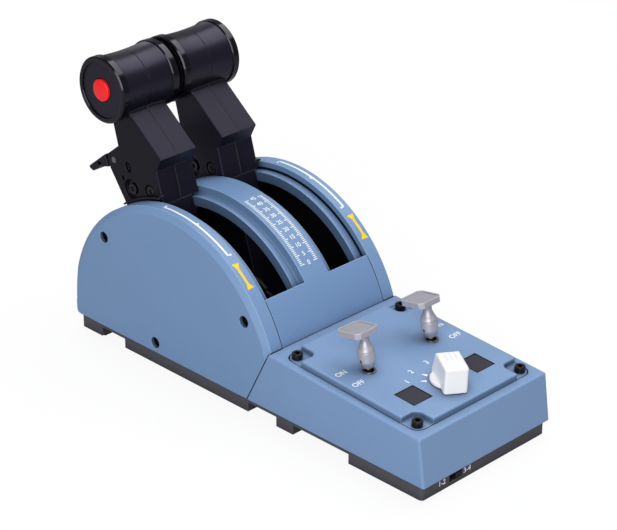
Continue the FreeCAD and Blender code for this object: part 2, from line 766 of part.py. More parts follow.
def build_carrier():
    body = start_body("shaft_carrier")
    outer_low = dim.hub_outer_x + 0.1 + dim.washer_thickness
    outer_high = centre_half + 1.2
    y = dim.pivot_y
    z = dim.pivot_z
    pad(body, "XY_Plane", floor, floor + 1.2, [rectangle(-outer_high, y - 12.2, outer_high, y + 15.8)])
    pad(body, "YZ_Plane", -8, 8, [
        [(y - 10.2, floor), (y + 10.2, floor), (y + 5.8, z + 9.4), (y - 5.8, z + 9.4)],
    ])
    for side in (-1, 1):
        pad(body, "YZ_Plane", *span(side, outer_low, outer_high), [[
            (y - 12.2, floor), (y + 15.8, floor), (y + 15.8, z + 4.4), (y + 7.8, z + 12.4),
            (y - 7.8, z + 12.4), (y - 12.2, z + 4.4),
        ]])
    pocket(body, "YZ_Plane", -outer_high, outer_high, [
        ("circle", dim.pivot_y, dim.pivot_z, dim.shaft_radius + 0.02),
    ])
    y, z = COVER_SCREWS[2]
    for side in (-1, 1):
        pocket(body, "YZ_Plane", *span(side, outer_low, outer_high),
               [("circle", y, z, SCREW_SHANK + 0.05)])


def build_detent_sector(side):
    body = start_body("right_detent_sector" if side > 0 else "left_detent_sector")
    y = dim.pivot_y
    z = dim.pivot_z
    radius = 26.0
    reach = radius * cosine(10)
    rise = radius * sine(10)
    pad(body, "YZ_Plane", *span(side, 8, 10), [
        [
            (y + reach, z + rise, radius, y, z, 1), (y - reach, z + rise), (y - reach, z),
            (y - 12, floor + 1.2), (y + 12, floor + 1.2), (y + reach, z),
        ],
        ("circle", y, z, dim.shaft_radius + 0.1),
    ])
    for angle in (dim.lever_lean, dim.lever_lean - 34, dim.lever_lean - 60):
        pocket(body, "YZ_Plane", *span(side, 8, 10), [
            ("circle", y + sine(angle) * 26.6, z + cosine(angle) * 26.6, 1.6),
        ])


def build_fixed_groups():
    feet = []
    end = half_length
    for front, back in [(3.0 - end, 13.4 - end), (3.0, 15.5), (end - 18.0, end - 9.0)]:
        for side in (-1, 1):
            low = (base_side - 15.8) * side
            high = (base_side - 2.3) * side
            feet.append(block(low, high, front, back, 0, dim.foot_height))
    group("base_feet", feet)

    screws = []
    for x, y in both_sides(BASE_SCREWS):
        head_top = number(dim.foot_height) + 2.6
        head = rod(SCREW_HEAD, head_top - 2.2, head_top, "z", x, y)
        head = head.cut(rod(1.2, head_top - 2.2, head_top - 1.0, "z", x, y))
        screws.append(head.fuse(rod(SCREW_SHANK, head_top, 16.0, "z", x, y)).removeSplitter())
    group("base_screws", screws)

    screws = []
    for y, z in COVER_SCREWS:
        for side in (-1, 1):
            seat = number(centre_half + 1.4) + 2.2
            head = rod(SCREW_HEAD, seat * side, (seat + 2.0) * side, "x", y, z)
            head = head.cut(rod(1.2, (seat + 0.8) * side, (seat + 2.0) * side, "x", y, z))
            shank = rod(SCREW_SHANK, (seat - 7.0) * side, seat * side, "x", y, z)
            screws.append(head.fuse(shank).removeSplitter())
    group("cover_screws", screws)

    shaft_end = number(centre_half) + 2.6
    body = start_body("lever_shaft")
    pad(body, "YZ_Plane", -shaft_end, shaft_end, [("circle", dim.pivot_y, dim.pivot_z, dim.shaft_radius)])
    soften(body, "Chamfer", 0.4, lambda edge: True)
    clips = []
    washers = []
    for side in (-1, 1):
        carrier_face = number(centre_half) + 1.2
        for radius, low, high, store in [
            (5.2, carrier_face, carrier_face + 1.0, clips),
            (7.6, 10.0, 10.0 + number(dim.washer_thickness), washers),
            (7.6, number(dim.hub_outer_x) + 0.1, carrier_face - 3.2, washers),
        ]:
            ring = rod(radius, low * side, high * side, "x", dim.pivot_y, dim.pivot_z)
            bore = number(dim.shaft_radius) + 0.05
            store.append(ring.cut(rod(bore, low * side, high * side, "x", dim.pivot_y, dim.pivot_z)))
    group("shaft_clips", clips)
    group("friction_washers", washers)

    sensors = []
    for side in (-1, 1):
        y = number(dim.pivot_y)
        z = number(dim.pivot_z)
        sensors.append(block(10.0 * side, 11.0 * side, y - 4.0, y + 2.0, z + 17.0, z + 22.0))
    group("hall_sensors", sensors)


def build_boards():
    body = start_body("main_board")
    top = deck + dim.board_thickness
    pad(body, "XY_Plane", deck, top, [rectangle(-25, -91, 25, -41)])
    pad(body, "XY_Plane", top, top + 1.4, [rectangle(-6, -72, 6, -60)])
    pad(body, "XY_Plane", top, top + 5.5, [rectangle(-20, -52, -8, -46)])
    pad(body, "XY_Plane", top, top + 5.5, [rectangle(6, -52, 20, -46)])
    pad(body, "XY_Plane", top, top + 3.5, [rectangle(-18, -87, -7, -83)])

    body = start_body("panel_board", PANEL)
    low = -dim.board_drop - dim.board_thickness
    pad(body, "XY_Plane", low, -dim.board_drop, [rectangle(-30.5, 14, 30.5, 64)])
    pad(body, "XY_Plane", low - 5, low, [rectangle(-14, 38, 2, 44)])
    pad(body, "XY_Plane", low - 1.2, low, [rectangle(6, 34, 14, 42)])

    body = start_body("rear_socket")
    back_inner = half_length - dim.wall
    pad(body, "XZ_Plane", back_inner - 1.6, back_inner, [rectangle(-7, 15.5, 7, 24.5)])
    pad(body, "XZ_Plane", back_inner - 7, half_length - 0.3, [rounded(-4.45, 18.45, 4.45, 21.55, as_size(1.5))])
    pocket(body, "XZ_Plane", back_inner - 4, half_length, [rounded(-4.15, 18.75, 4.15, 21.25, as_size(1.2))])
    pad(body, "XZ_Plane", back_inner - 4.2, half_length - 1.0, [rectangle(-3.3, 19.65, 3.3, 20.35)])

    body = start_body("slide_switch")
    front = 2.5 - base_end
    low_x = dim.slide_x - slide_half - 1.5
    high_x = dim.slide_x + slide_half + 1.5
    pad(body, "XY_Plane", floor, deck - 0.4, [rectangle(low_x, front, high_x, front + 5)])
    half = (dim.slide_travel + 2.0) / 2 + 0.4
    pocket(body, "XZ_Plane", front, front + 3.2, [
        rectangle(dim.slide_x - half, slide_z - 1.2, dim.slide_x + half, slide_z + 1.2),
    ])

    body = start_body("engine_slider")
    middle = dim.slide_x + dim.slide_travel / 2
    half = dim.slide_width / 2
    tall = dim.slide_height / 2
    pad(body, "XZ_Plane", 1.2 - base_end - 2.2, front - 0.4,
        [rectangle(middle - half, slide_z - tall, middle + half, slide_z + tall)])
    soften(body, "Chamfer", 0.4, lambda edge: edge.CenterOfMass.y < number(0.2 - base_end - 1))
    pad(body, "XZ_Plane", front - 0.5, front + 2.6,
        [rectangle(middle - 1, slide_z - 0.8, middle + 1, slide_z + 0.8)])


# ------------------------------------------------------------------- control panel

toggle_pivot_h = 0.4
bat_pin = 0.7
knob_bore = 3.0


def toggle_pivot():
    """Where an engine switch turns: its s and h; the lever's middle line meets the field."""
    rise = dim.panel_rise - toggle_pivot_h
    return dim.toggle_s - rise * sine(dim.toggle_tilt) / cosine(dim.toggle_tilt), toggle_pivot_h


def build_panel():
    body = start_body("panel_plate", PANEL)
    half = dim.panel_half_width - dim.panel_gap
    front = dim.panel_front_s + dim.panel_gap
    back = dim.panel_back_s - dim.panel_gap
    pad(body, "XY_Plane", -dim.panel_base_thickness, 0, [
        rounded(-half, front, half, back, dim.panel_corner),
    ])
    edge = half - 0.25
    field_front = front + 0.25
    field_back = back - 0.25
    inner = dim.panel_screw_x - dim.panel_notch_radius
    first = dim.panel_front_s + dim.panel_screw_inset + dim.panel_notch_radius
    last = dim.panel_back_s - dim.panel_screw_inset - dim.panel_notch_radius
    r = 4.0
    pad(body, "XY_Plane", 0, dim.panel_rise, [[
        (-inner, field_front), (inner, field_front), (inner, first - r, r, inner + r, first - r, -1),
        (inner + r, first), (edge, first), (edge, last),
        (inner + r, last, r, inner + r, last + r, -1), (inner, last + r),
        (inner, field_back), (-inner, field_back), (-inner, last + r, r, -inner - r, last + r, -1),
        (-inner - r, last), (-edge, last), (-edge, first),
        (-inner - r, first, r, -inner - r, first - r, -1), (-inner, first - r),
    ]])
    rise = dim.panel_rise.value
    soften(body, "Chamfer", 0.5, lambda item: abs(item.CenterOfMass.z - rise) < 1e-4)
    screws = [("circle", x, s, SCREW_SHANK + 0.1) for x, s in panel_screw_places()]
    hollow = dim.button_size / 2 + dim.button_gap
    holes = screws + [("circle", 0, dim.knob_s, 3.5)]
    for side in (-1, 1):
        holes.append(("circle", dim.toggle_x * side, toggle_pivot()[0], 3.35))
        x = dim.button_x * side
        holes.append(rounded(x - hollow, dim.button_s - hollow, x + hollow, dim.button_s + hollow,
                             as_size(1.0)))
    pocket(body, "XY_Plane", -dim.panel_base_thickness, dim.panel_rise, holes)

    for side, label in ((-1, "left"), (1, "right")):
        button = start_body(f"{label}_square_button", PANEL)
        x = dim.button_x * side
        half = dim.button_size / 2
        s = dim.button_s
        pad(button, "XY_Plane", -dim.panel_base_thickness - 1.4, dim.panel_rise - 0.4,
            [rounded(x - half, s - half, x + half, s + half, as_size(0.8))])
        soften(button, "Chamfer", 0.5, lambda item: abs(item.CenterOfMass.z - rise + 0.4) < 1e-4)
        pad(button, "XY_Plane", -dim.panel_base_thickness - 1.4, -dim.panel_base_thickness - 0.4,
            [rounded(x - half - 1.2, s - half - 1.2, x + half + 1.2, s + half + 1.2, as_size(1.0))])

    screws = []
    for x, s in panel_screw_places():
        head = rod(2.75, 0, 3, "z", x, s)
        socket = Part.makePolygon([
            Vector(number(x) + 1.45 * math.cos(math.radians(60 * step)),
                   number(s) + 1.45 * math.sin(math.radians(60 * step)), 1.2)
            for step in range(7)
        ])
        head = head.makeChamfer(0.35, [edge for edge in head.Edges if edge.CenterOfMass.z > 2.9])
        head = head.cut(Part.Face(socket).extrude(Vector(0, 0, 3)))
        screws.append(head.fuse(rod(SCREW_SHANK, -8.5, 0, "z", x, s)).removeSplitter())
    group("panel_screws", screws, PANEL)

    low_s, low_h = [number(value) for value in toggle_pivot()]
    under = -number(dim.panel_base_thickness)
    board = -number(dim.board_drop)
    toggles = []
    buttons = []
    for side in (-1, 1):
        x = number(dim.toggle_x) * side
        case = block(x - 6.3, x + 6.3, low_s - 6.3, low_s + 6.3, board, under)
        bush = rod(3.3, under, number(dim.panel_rise) + 0.8, "z", x, low_s)
        bore = rod(2.4, board + 2.0, number(dim.panel_rise) + 1.0, "z", x, low_s)
        cross = rod(bat_pin + number(dim.running_gap), x - 2.95, x + 2.95, "x", low_s, low_h)
        toggles.append(case.fuse(bush).cut(bore).cut(cross).removeSplitter())
        x = number(dim.button_x) * side
        s = number(dim.button_s)
        case = block(x - 5.5, x + 5.5, s - 5.5, s + 5.5, board, board + 3.4)
        buttons.append(case.fuse(rod(1.8, board + 3.4, under - 2.5, "z", x, s)).removeSplitter())
    group("toggle_switches", toggles, PANEL)
    group("button_switches", buttons, PANEL)

    body = start_body("selector_encoder", PANEL)
    s = dim.knob_s
    pad(body, "XY_Plane", -dim.board_drop, -dim.panel_base_thickness, [
        rounded(-6.5, s - 6.5, 6.5, s + 6.5, as_size(1.0)),
        ("circle", 0, s, knob_bore + dim.running_gap),
    ])


def knob_body(label):
    body = start_body(label)
    base = Placement(Vector(0, console_edge[0].value, console_edge[1].value),
                     Rotation(AXIS_X, panel_slope.value))
    local = Placement(Vector(0, dim.knob_s.value, 0),
                      Rotation(Vector(0, 0, 1), -dim.knob_turn.value))
    body.Placement = base.multiply(local)
    bind(body, "Placement.Base.y", console_edge[0] + cosine(panel_slope) * dim.knob_s)
    bind(body, "Placement.Base.z", console_edge[1] + sine(panel_slope) * dim.knob_s)
    return body


def build_selector():
    body = knob_body("selector_knob")
    radius = dim.knob_radius
    low = dim.panel_rise + 0.4
    lathe(body, [[(0, low), (radius, low), (radius, low + 1.2), (radius - 0.5, low + 1.7), (0, low + 1.7)]])
    top = 16.4
    pad(body, "YZ_Plane", -5.9, 5.9, [[
        (-12.4, low), (8.2, low), (8.2, low + 2.7), (4.2, top), (-12.0, top),
    ]])
    soften(body, "Fillet", 1.6, lambda edge: edge.CenterOfMass.y < -11.5 and abs(edge.CenterOfMass.x) > 5)
    soften(body, "Fillet", 1.2, lambda edge: edge.CenterOfMass.z > top - 0.1)
    for x in (-2.4, 0.0, 2.4):
        pocket(body, "XY_Plane", top - 0.4, top + 0.5, [rectangle(x - 0.35, -3.2, x + 0.35, 2.6)])
    pocket(body, "XY_Plane", low, 11.0, [("circle", 0, 0, knob_bore + 0.02)])
    shaft = knob_body("selector_shaft")
    pad(shaft, "XY_Plane", -dim.board_drop + 0.6, 10.9, [("circle", 0, 0, knob_bore)])


def toggle_body(label, side):
    """A body whose Z runs along the switch lever as it stands at rest."""
    body = start_body(label)
    s, h = toggle_pivot()
    y = console_edge[0] + cosine(panel_slope) * s - sine(panel_slope) * h
    z = console_edge[1] + sine(panel_slope) * s + cosine(panel_slope) * h
    turn = dim.toggle_tilt - panel_slope
    x = dim.toggle_x * side
    body.Placement = Placement(Vector(x.value, y.value, z.value), Rotation(-AXIS_X, turn.value))
    bind(body, "Placement.Base.x", x)
    bind(body, "Placement.Base.y", y)
    bind(body, "Placement.Base.z", z)
    bind(body, "Placement.Rotation.Angle", turn)
    return body


def build_toggle(side, label):
    bat = toggle_body(f"{label}_toggle_bat", side)
    ball = 1.9
    lathe(bat, [[(0, -ball, ball, 0, 0, 1), (1.3, root(as_size(ball * ball - 1.69))), (1.3, 15.0), (0, 15.0)]])
    pad(bat, "YZ_Plane", -2.85, 2.85, [("circle", 0, 0, bat_pin)])
    sleeve = toggle_body(f"{label}_toggle_sleeve", side)
    bore = 1.3 + dim.running_gap
    lathe(sleeve, [[
        (bore, 4.3), (2.7, 4.3), (4.25, 7.6), (4.3, 12.3), (4.05, 12.45), (4.05, 12.75), (4.3, 12.9),
        (4.0, 14.1), (3.1, 15.6), (2.2, 17.8), (2.1, 21.1), (0, 21.1), (0, 18.4), (bore, 18.4),
    ]])
    pocket(sleeve, "YZ_Plane", -5.0, -3.1, [("circle", 0, 8.4, 0.9)])
    middle = 3.8
    half = 7.5
    corner = 2.0

    def plate(inset):
        size = half - inset
        cut = corner - inset * 0.5
        return [
            (-size + cut, middle - size), (size - cut, middle - size), (size, middle - size + cut),
            (size, middle + size - cut), (size - cut, middle + size), (-size + cut, middle + size),
            (-size, middle + size - cut), (-size, middle - size + cut),
        ]

    pad(sleeve, "XY_Plane", 21.0, 23.9, [plate(0)])
    pocket(sleeve, "XY_Plane", 23.6, 23.9, [plate(1.2)])


# ------------------------------------------------------------------- levers

grip_centre = (0, dim.grip_height)
shell_end = dim.grip_ring_width
waist_sag = dim.grip_end_radius - dim.grip_waist_radius
waist_half = dim.grip_length / 2 - dim.grip_ring_width
waist_arc = (waist_half * waist_half + waist_sag * waist_sag) / (waist_sag * 2)


def above(rise):
    """A height along the lever, measured from the lower end of the arm."""
    return dim.arm_bottom_radius + rise


def arm_profile():
    low = dim.arm_bottom_radius

    def foot(b):
        b = as_size(b)
        return (b, root(low * low - b * b))

    front = foot(-13.8)
    back = foot(16.0)
    pin_b = dim.latch_pin_b
    pin_a = dim.latch_pin_a
    return [
        (back[0], back[1], low, 0, 0, 1), front, (-15.9, above(15.8)), (-22.2, above(21.1)),
        (-8.4, above(46.3)), (-8.4, above(53.8)), (7.0, above(53.8)), (7.0, above(42.8)),
        (8.6, above(31.8)), (pin_b + 1.2, pin_a + 4.34, 4.5, pin_b, pin_a, -1),
        (pin_b + 4.34, pin_a - 1.2), (20.4, above(21.4)), (16.0, above(1.8)),
    ]


def grip_hollow():
    """(x, radius) outline of the space that the arms leave for the grip."""
    low = grip_inner + dim.grip_ring_width
    high = grip_outer - dim.grip_ring_width
    top = dim.grip_end_radius
    return [
        (low, 0), (high, 0), (high, top, waist_arc, dim.grip_x, dim.grip_waist_radius + waist_arc, -1),
        (low, top),
    ]


def build_lever_core(side, label):
    body = start_body(f"{label}_lever_core", LEVER)
    pad(body, "YZ_Plane", *span(side, dim.hub_inner_x, dim.hub_outer_x), [("circle", 0, 0, dim.hub_radius)])
    pad(body, "YZ_Plane", *span(side, blade_inner, blade_outer), [[
        (-8.6, 2.0), (8.6, 2.0), (13.6, above(-14.2)), (14.6, above(1.8)), (-13.0, above(1.8)),
        (-13.0, above(-1.4)), (-13.7, above(-1.4)), (-12.8, above(-14.2)),
    ]])
    half = dim.tongue_width / 2
    pad(body, "YZ_Plane", *span(side, dim.arm_x - half, dim.arm_x + half), [
        rectangle(-dim.tongue_back, above(-4.2), dim.tongue_front, dim.grip_height),
    ])
    pad(body, "YZ_Plane", *span(side, dim.arm_x - half, dim.arm_x + half), [
        ("circle", 0, dim.grip_height, 13.4),
    ])
    pocket(body, "YZ_Plane", *span(side, dim.hub_inner_x, dim.hub_outer_x), [
        ("circle", 0, 0, dim.shaft_radius + dim.running_gap),
    ])
    pad(body, "YZ_Plane", *span(side, 8.4, blade_inner + 0.5), [("circle", 0, 28.2, 1.5)])


def build_arm(side, label, outer):
    """One moulded half of an arm; outer is +1 for the half away from the middle."""
    body = start_body(f"{label}_arm_{'outer' if outer > 0 else 'inner'}", LEVER)
    half = dim.arm_width / 2
    middle = dim.arm_x

    def levels(low, high):
        """Levels measured from the lever's middle plane towards this half's face."""
        low = as_size(low) * outer + middle
        high = as_size(high) * outer + middle
        return span(side, low, high) if outer > 0 else span(side, high, low)

    seam = dim.seam / 2
    pad(body, "YZ_Plane", *levels(seam, half), [arm_profile()])
    face = (middle + half * outer).value * side
    foot = above(1.0).value
    top = above(46.0).value

    def front_rim(edge):
        place = edge.CenterOfMass
        return abs(place.x - face) < 1e-3 and place.y < -9 and foot < place.z < top

    soften(body, "Fillet", 0.8, front_rim)
    if outer > 0:
        revolve(body, "Revolution", 11.3, 22.0, flip([[
            (middle + half - 1.2, above(3.2)), (middle + half + 2.4, above(3.3)),
            (middle + half + 2.4, above(4.1)), (middle + half, above(4.6)),
            (middle + half - 1.2, above(4.6)),
        ]], side))
    pocket(body, "YZ_Plane", *levels(seam, dim.tongue_width / 2), [
        rectangle(-dim.tongue_back, above(-14.2), dim.tongue_front, dim.grip_height + 4.1),
    ])
    blade = (blade_outer - middle) if outer > 0 else (middle - blade_inner)
    pocket(body, "YZ_Plane", *levels(seam, blade + 0.05), [
        rectangle(-13.1, above(-14.2), 14.7, above(1.8)),
    ])
    pin_b = dim.latch_pin_b
    pin_a = dim.latch_pin_a
    pocket(body, "YZ_Plane", *levels(seam, dim.latch_width / 2 + 0.4), [
        rectangle(pin_b - 12.5, pin_a - 8.3, pin_b + 16.0, pin_a + 8.7),
    ])
    revolve(body, "Groove", 0, 360, flip([grip_hollow()], side), grip_centre)
    pocket(body, "YZ_Plane", *levels(seam, half), [("circle", pin_b, pin_a, dim.latch_pin_radius + 0.01)])
    for b, a, radius in ARM_SCREWS:
        pocket(body, "YZ_Plane", *levels(half - 1.6, half), [("circle", b, a, radius)])
        pocket(body, "YZ_Plane", *levels(half - 6.0, half), [("circle", b, a, 1.45)])
    pocket(body, "YZ_Plane", *levels(half - 1.8, half), [
        ("circle", 12.5, above(15.3), 1.3),
        rounded(3.6, above(17.4), 7.8, above(23.0), as_size(2.0)),
    ])


ARM_SCREWS = [(8.0, above(8.8), 5.5), (-6.0, above(6.0), 3.9)]


def build_lever_groups(side, label):
    half = number(dim.arm_width) / 2
    middle = number(dim.arm_x)
    screws = []
    for b, a, radius in ARM_SCREWS:
        for outer in (-1, 1):
            seat = middle + (half - 1.6) * outer
            head = rod(2.9, seat * side, (seat + 1.2 * outer) * side, "x", b, a)
            head = head.cut(rod(1.2, (seat + 0.4 * outer) * side, (seat + 1.2 * outer) * side, "x", b, a))
            shank = rod(1.4, seat * side, (seat - 3.5 * outer) * side, "x", b, a)
            screws.append(head.fuse(shank).removeSplitter())
    group(f"{label}_arm_screws", screws, LEVER)

    pin = rod(dim.latch_pin_radius, (middle - half + 0.1) * side, (middle + half - 0.1) * side, "x",
              dim.latch_pin_b, dim.latch_pin_a)
    group(f"{label}_latch_pin", [pin], LEVER)
    inner = number(blade_inner)
    group(f"{label}_magnet", [rod(3.0, inner * side, (inner - 1.5) * side, "x", 0, 20.0)], LEVER)
    seat = middle + number(dim.tongue_width) / 2
    height = number(dim.grip_height)
    case = block(seat * side, (seat + 4.6) * side, -4, 4, height - 4, height + 4)
    tip = rod(1.6, (seat + 4.6) * side, (seat + 5.8) * side, "x", 0, height)
    group(f"{label}_grip_switch", [case.fuse(tip).removeSplitter()], LEVER)

    axis = Vector(1, 0, 0)
    centre = Vector(0, 0, height)

    def turned(profile):
        points = [Vector(x * side, 0, height + radius) for x, radius in profile + profile[:1]]
        return Part.Face(Part.makePolygon(points)).revolve(centre, axis, 360)

    rings = []
    caps = []
    top = number(dim.grip_ring_radius)
    cap = number(dim.grip_cap_radius)
    recess = number(dim.grip_cap_recess)
    thick = number(dim.grip_ring_width)
    for face, inward in ((number(grip_outer), -1), (number(grip_inner), 1)):
        shell = face + inward * thick
        shelf = face + inward * (recess + 1.6)
        rings.append(turned([
            (shell, 12.4), (shell, top - 0.5), (shell - inward * 0.5, top), (face + inward * 0.7, top),
            (face, top - 0.7), (face, cap + 0.3), (face + inward * 0.3, cap + 0.03),
            (shelf, cap + 0.03), (shelf, 12.4),
        ]))
        hole = number(dim.red_button_radius) + 0.35 if inward < 0 else 0.0
        caps.append(turned([
            (shelf, hole), (shelf, cap), (face + inward * recess, cap), (face + inward * recess, hole),
        ]))
    group(f"{label}_grip_rings", rings, LEVER)
    group(f"{label}_grip_caps", caps, LEVER)


def build_grip_shell(side, label, outer):
    body = start_body(f"{label}_grip_{'outer' if outer > 0 else 'inner'}", LEVER)
    seam = dim.grip_x + dim.seam / 2 * outer
    end = (grip_outer - dim.grip_ring_width) if outer > 0 else (grip_inner + dim.grip_ring_width)
    top = dim.grip_end_radius
    waist = dim.grip_waist_radius
    revolve(body, "Revolution", 0, 360, flip([[
        (seam, 13.45), (end, 13.45), (end, top, waist_arc, dim.grip_x, waist + waist_arc, -outer),
        (seam, waist),
    ]], side), grip_centre)
    half = dim.tongue_width / 2
    low = dim.arm_x - half - 0.05
    high = dim.arm_x + half + 0.05
    pocket(body, "YZ_Plane", *span(side, low, high), [
        rectangle(-dim.tongue_back - 0.05, dim.grip_height - 20.9,
                  dim.tongue_front + 0.05, dim.grip_height - 7.9),
    ])


def build_red_button(side, label):
    body = start_body(f"{label}_disconnect_button", LEVER)
    radius = dim.red_button_radius
    cap_face = grip_outer - dim.grip_cap_recess
    back = cap_face - 1.6
    seat = dim.arm_x + dim.tongue_width / 2 + 5.8 + dim.red_button_travel + 0.3
    revolve(body, "Revolution", 0, 360, flip([[
        (seat, 0), (seat, 2.0), (back - 1.8, 2.0), (back - 1.8, radius + 1.1), (back - 0.8, radius + 1.1),
        (back - 0.8, radius), (cap_face + 0.9, radius), (cap_face + 1.3, radius - 0.4),
        (cap_face + 1.9, radius * 0.55), (cap_face + 2.1, 0),
    ]], side), grip_centre)


def build_latch(side, label):
    body = start_body(f"{label}_reverse_latch", LEVER)
    b = dim.latch_pin_b
    a = dim.latch_pin_a
    root_half = dim.latch_width / 2
    pad(body, "YZ_Plane", *span(side, dim.arm_x - root_half, dim.arm_x + root_half), [
        [
            (b - 9.2, a + 7.2), (b - 8.0, a - 1.3), (b - 4.0, a - 3.9), (b + 4.8, a - 3.1),
            (b + 8.0, a - 2.7), (b + 8.0, a + 3.0), (b + 6.0, a + 3.6), (b - 7.4, a + 6.9),
        ],
        ("circle", b, a, dim.latch_pin_radius + dim.running_gap),
    ])
    half = dim.arm_width / 2
    pad(body, "YZ_Plane", *span(side, dim.arm_x - half, dim.arm_x + half), [[
        (b + 6.0, a - 3.0), (b + 12.3, a - 2.1), (b + 19.6, a - 3.9), (b + 21.9, a - 2.1),
        (b + 21.7, a - 0.8), (b + 6.0, a + 3.6),
    ]])
    pocket(body, "YZ_Plane", *span(side, dim.arm_x - half, dim.arm_x + half), [
        rounded(b + 11.0, a - 1.4, b + 14.8, a + 0.6, as_size(0.95)),
    ])
    tip = dim.latch_pin_b.value + 16.0
    soften(body, "Fillet", 0.8, lambda edge: runs_along(edge, AXIS_X, 20.0) and edge.CenterOfMass.y > tip)


# ------------------------------------------------------------------- everything

build_base()
build_console()
build_centre_body()
for side, label in ((-1, "left"), (1, "right")):
    build_side_cover(side)
    build_detent_sector(side)
build_carrier()
build_fixed_groups()
build_boards()
build_panel()
build_selector()
for side, label in ((-1, "left"), (1, "right")):
    build_toggle(side, label)
    build_lever_core(side, label)
    for outer in (-1, 1):
        build_arm(side, label, outer)
        build_grip_shell(side, label, outer)
    build_lever_groups(side, label)
    build_red_button(side, label)
    build_latch(side, label)

document.recompute()
os.makedirs("parts", exist_ok=True)
for item in document.Objects:
    if "Invalid" in item.State or "Error" in item.State:
        raise RuntimeError(f"{item.Label} is in error")
for label, item in finished.items():
    if item.Shape.isNull() or not item.Shape.isValid():
        raise RuntimeError(f"{label} has no valid shape")
    item.Shape.exportStep(f"parts/{label}.step")
print(f"{len(finished)} pieces written")
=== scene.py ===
"""Looks of the throttle quadrant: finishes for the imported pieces, printed marks and small details.

Metres, in the part's frame: X to the user's right, Y away from the user, Z up.
"""
import json
import math

import bmesh
import bpy
from mathutils import Matrix, Vector


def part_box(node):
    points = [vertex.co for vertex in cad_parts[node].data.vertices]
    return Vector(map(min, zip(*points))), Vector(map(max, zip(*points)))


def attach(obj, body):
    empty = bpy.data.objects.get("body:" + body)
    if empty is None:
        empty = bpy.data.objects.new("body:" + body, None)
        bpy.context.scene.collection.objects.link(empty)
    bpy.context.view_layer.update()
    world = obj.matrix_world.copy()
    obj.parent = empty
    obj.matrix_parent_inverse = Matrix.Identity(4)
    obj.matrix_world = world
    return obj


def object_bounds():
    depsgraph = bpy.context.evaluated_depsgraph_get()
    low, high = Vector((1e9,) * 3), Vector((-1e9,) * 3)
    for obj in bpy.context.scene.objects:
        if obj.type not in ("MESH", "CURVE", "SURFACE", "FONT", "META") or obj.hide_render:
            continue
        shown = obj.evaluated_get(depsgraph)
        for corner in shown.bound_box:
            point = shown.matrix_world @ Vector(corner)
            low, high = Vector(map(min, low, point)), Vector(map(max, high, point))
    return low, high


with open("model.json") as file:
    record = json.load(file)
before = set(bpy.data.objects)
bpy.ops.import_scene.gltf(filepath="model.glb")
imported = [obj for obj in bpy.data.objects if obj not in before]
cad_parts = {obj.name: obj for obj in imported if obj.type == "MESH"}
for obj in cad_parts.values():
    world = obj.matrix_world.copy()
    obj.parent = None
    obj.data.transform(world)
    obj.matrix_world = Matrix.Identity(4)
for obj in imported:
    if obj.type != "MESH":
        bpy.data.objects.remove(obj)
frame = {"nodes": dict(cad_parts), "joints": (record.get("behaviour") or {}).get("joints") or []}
cad_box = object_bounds()

MM = 0.001
AXIS_X = Vector((1, 0, 0))
AXIS_Y = Vector((0, 1, 0))
AXIS_Z = Vector((0, 0, 1))

# Millimetres up the panel's slope from its front edge, and across from its middle.
KNOB_FROM_EDGE = 23.0
BUTTON_FROM_EDGE = 25.0
BUTTON_X = 22.1
# Millimetres that the recess's ledges lie below the drum's top, and that prints lie off a surface.
LEDGE_DROP = 4.1
PRINT_LIFT = 0.01


# ------------------------------------------------------------------ places taken from the frame

joints = {joint["name"]: joint for joint in frame["joints"]}


def joint_point(name):
    return Vector(joints[name]["pos_m"])


def joint_axis(name):
    return Vector(joints[name]["axis"]).normalized()


pivot = joint_point("left_lever_swing")
drum_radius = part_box("centre_body")[1].z - pivot.z
panel_normal = joint_axis("selector_turn")
panel_up = panel_normal.cross(AXIS_X)
knob_centre = joint_point("selector_turn")
knob_from_edge = KNOB_FROM_EDGE * MM
panel_edge = knob_centre - panel_up * knob_from_edge
ledge_radius = drum_radius - LEDGE_DROP * MM
print_radius = drum_radius + PRINT_LIFT * MM
console = frame["nodes"]["console_shell"]
seam_foot = Vector((0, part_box("console_shell")[1].y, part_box("console_shell")[0].z))
seam_top = max((console.matrix_world @ corner.co for corner in console.data.vertices),
               key=lambda place: place.z)
seam_normal = (seam_top - seam_foot).cross(AXIS_X)
seam_normal.x = 0
seam_normal.normalize()
arm_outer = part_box("left_arm_outer")
arm_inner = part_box("left_arm_inner")
arm_middle = -(arm_outer[0].x + arm_inner[1].x) / 2
arm_half = (arm_inner[1].x - arm_outer[0].x) / 2
plate = frame["nodes"]["panel_plate"]
field_height = max((plate.matrix_world @ corner.co - panel_edge).dot(panel_normal)
                   for corner in plate.data.vertices)


def basis(origin, right, up):
    """A placing matrix whose X, Y and Z run along right, up and out of the surface."""
    right = right.normalized()
    out = right.cross(up).normalized()
    up = out.cross(right)
    matrix = Matrix((right, up, out)).transposed().to_4x4()
    matrix.translation = origin
    return matrix


def on_panel(x, s, height=0.0):
    """A place on the panel: x across, s up its slope, in millimetres from the front edge."""
    origin = panel_edge + AXIS_X * (x * MM) + panel_up * (s * MM) + panel_normal * (height * MM)
    return basis(origin, AXIS_X, panel_up)


def on_base_front(x, z):
    """A place on the front face of the dark base, in millimetres."""
    return basis(Vector((x * MM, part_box("base_housing")[0].y, z * MM)), AXIS_X, Vector((0, 0, 1)))


def on_drum(x, angle):
    """A place for a print on the drum's top; angle is in degrees forward of upright."""
    turn = math.radians(angle)
    out = Vector((0, math.sin(turn), math.cos(turn)))
    onward = Vector((0, math.cos(turn), -math.sin(turn)))
    origin = pivot + out * print_radius + AXIS_X * (x * MM)
    return basis(origin, AXIS_X, onward)


# ------------------------------------------------------------------ materials

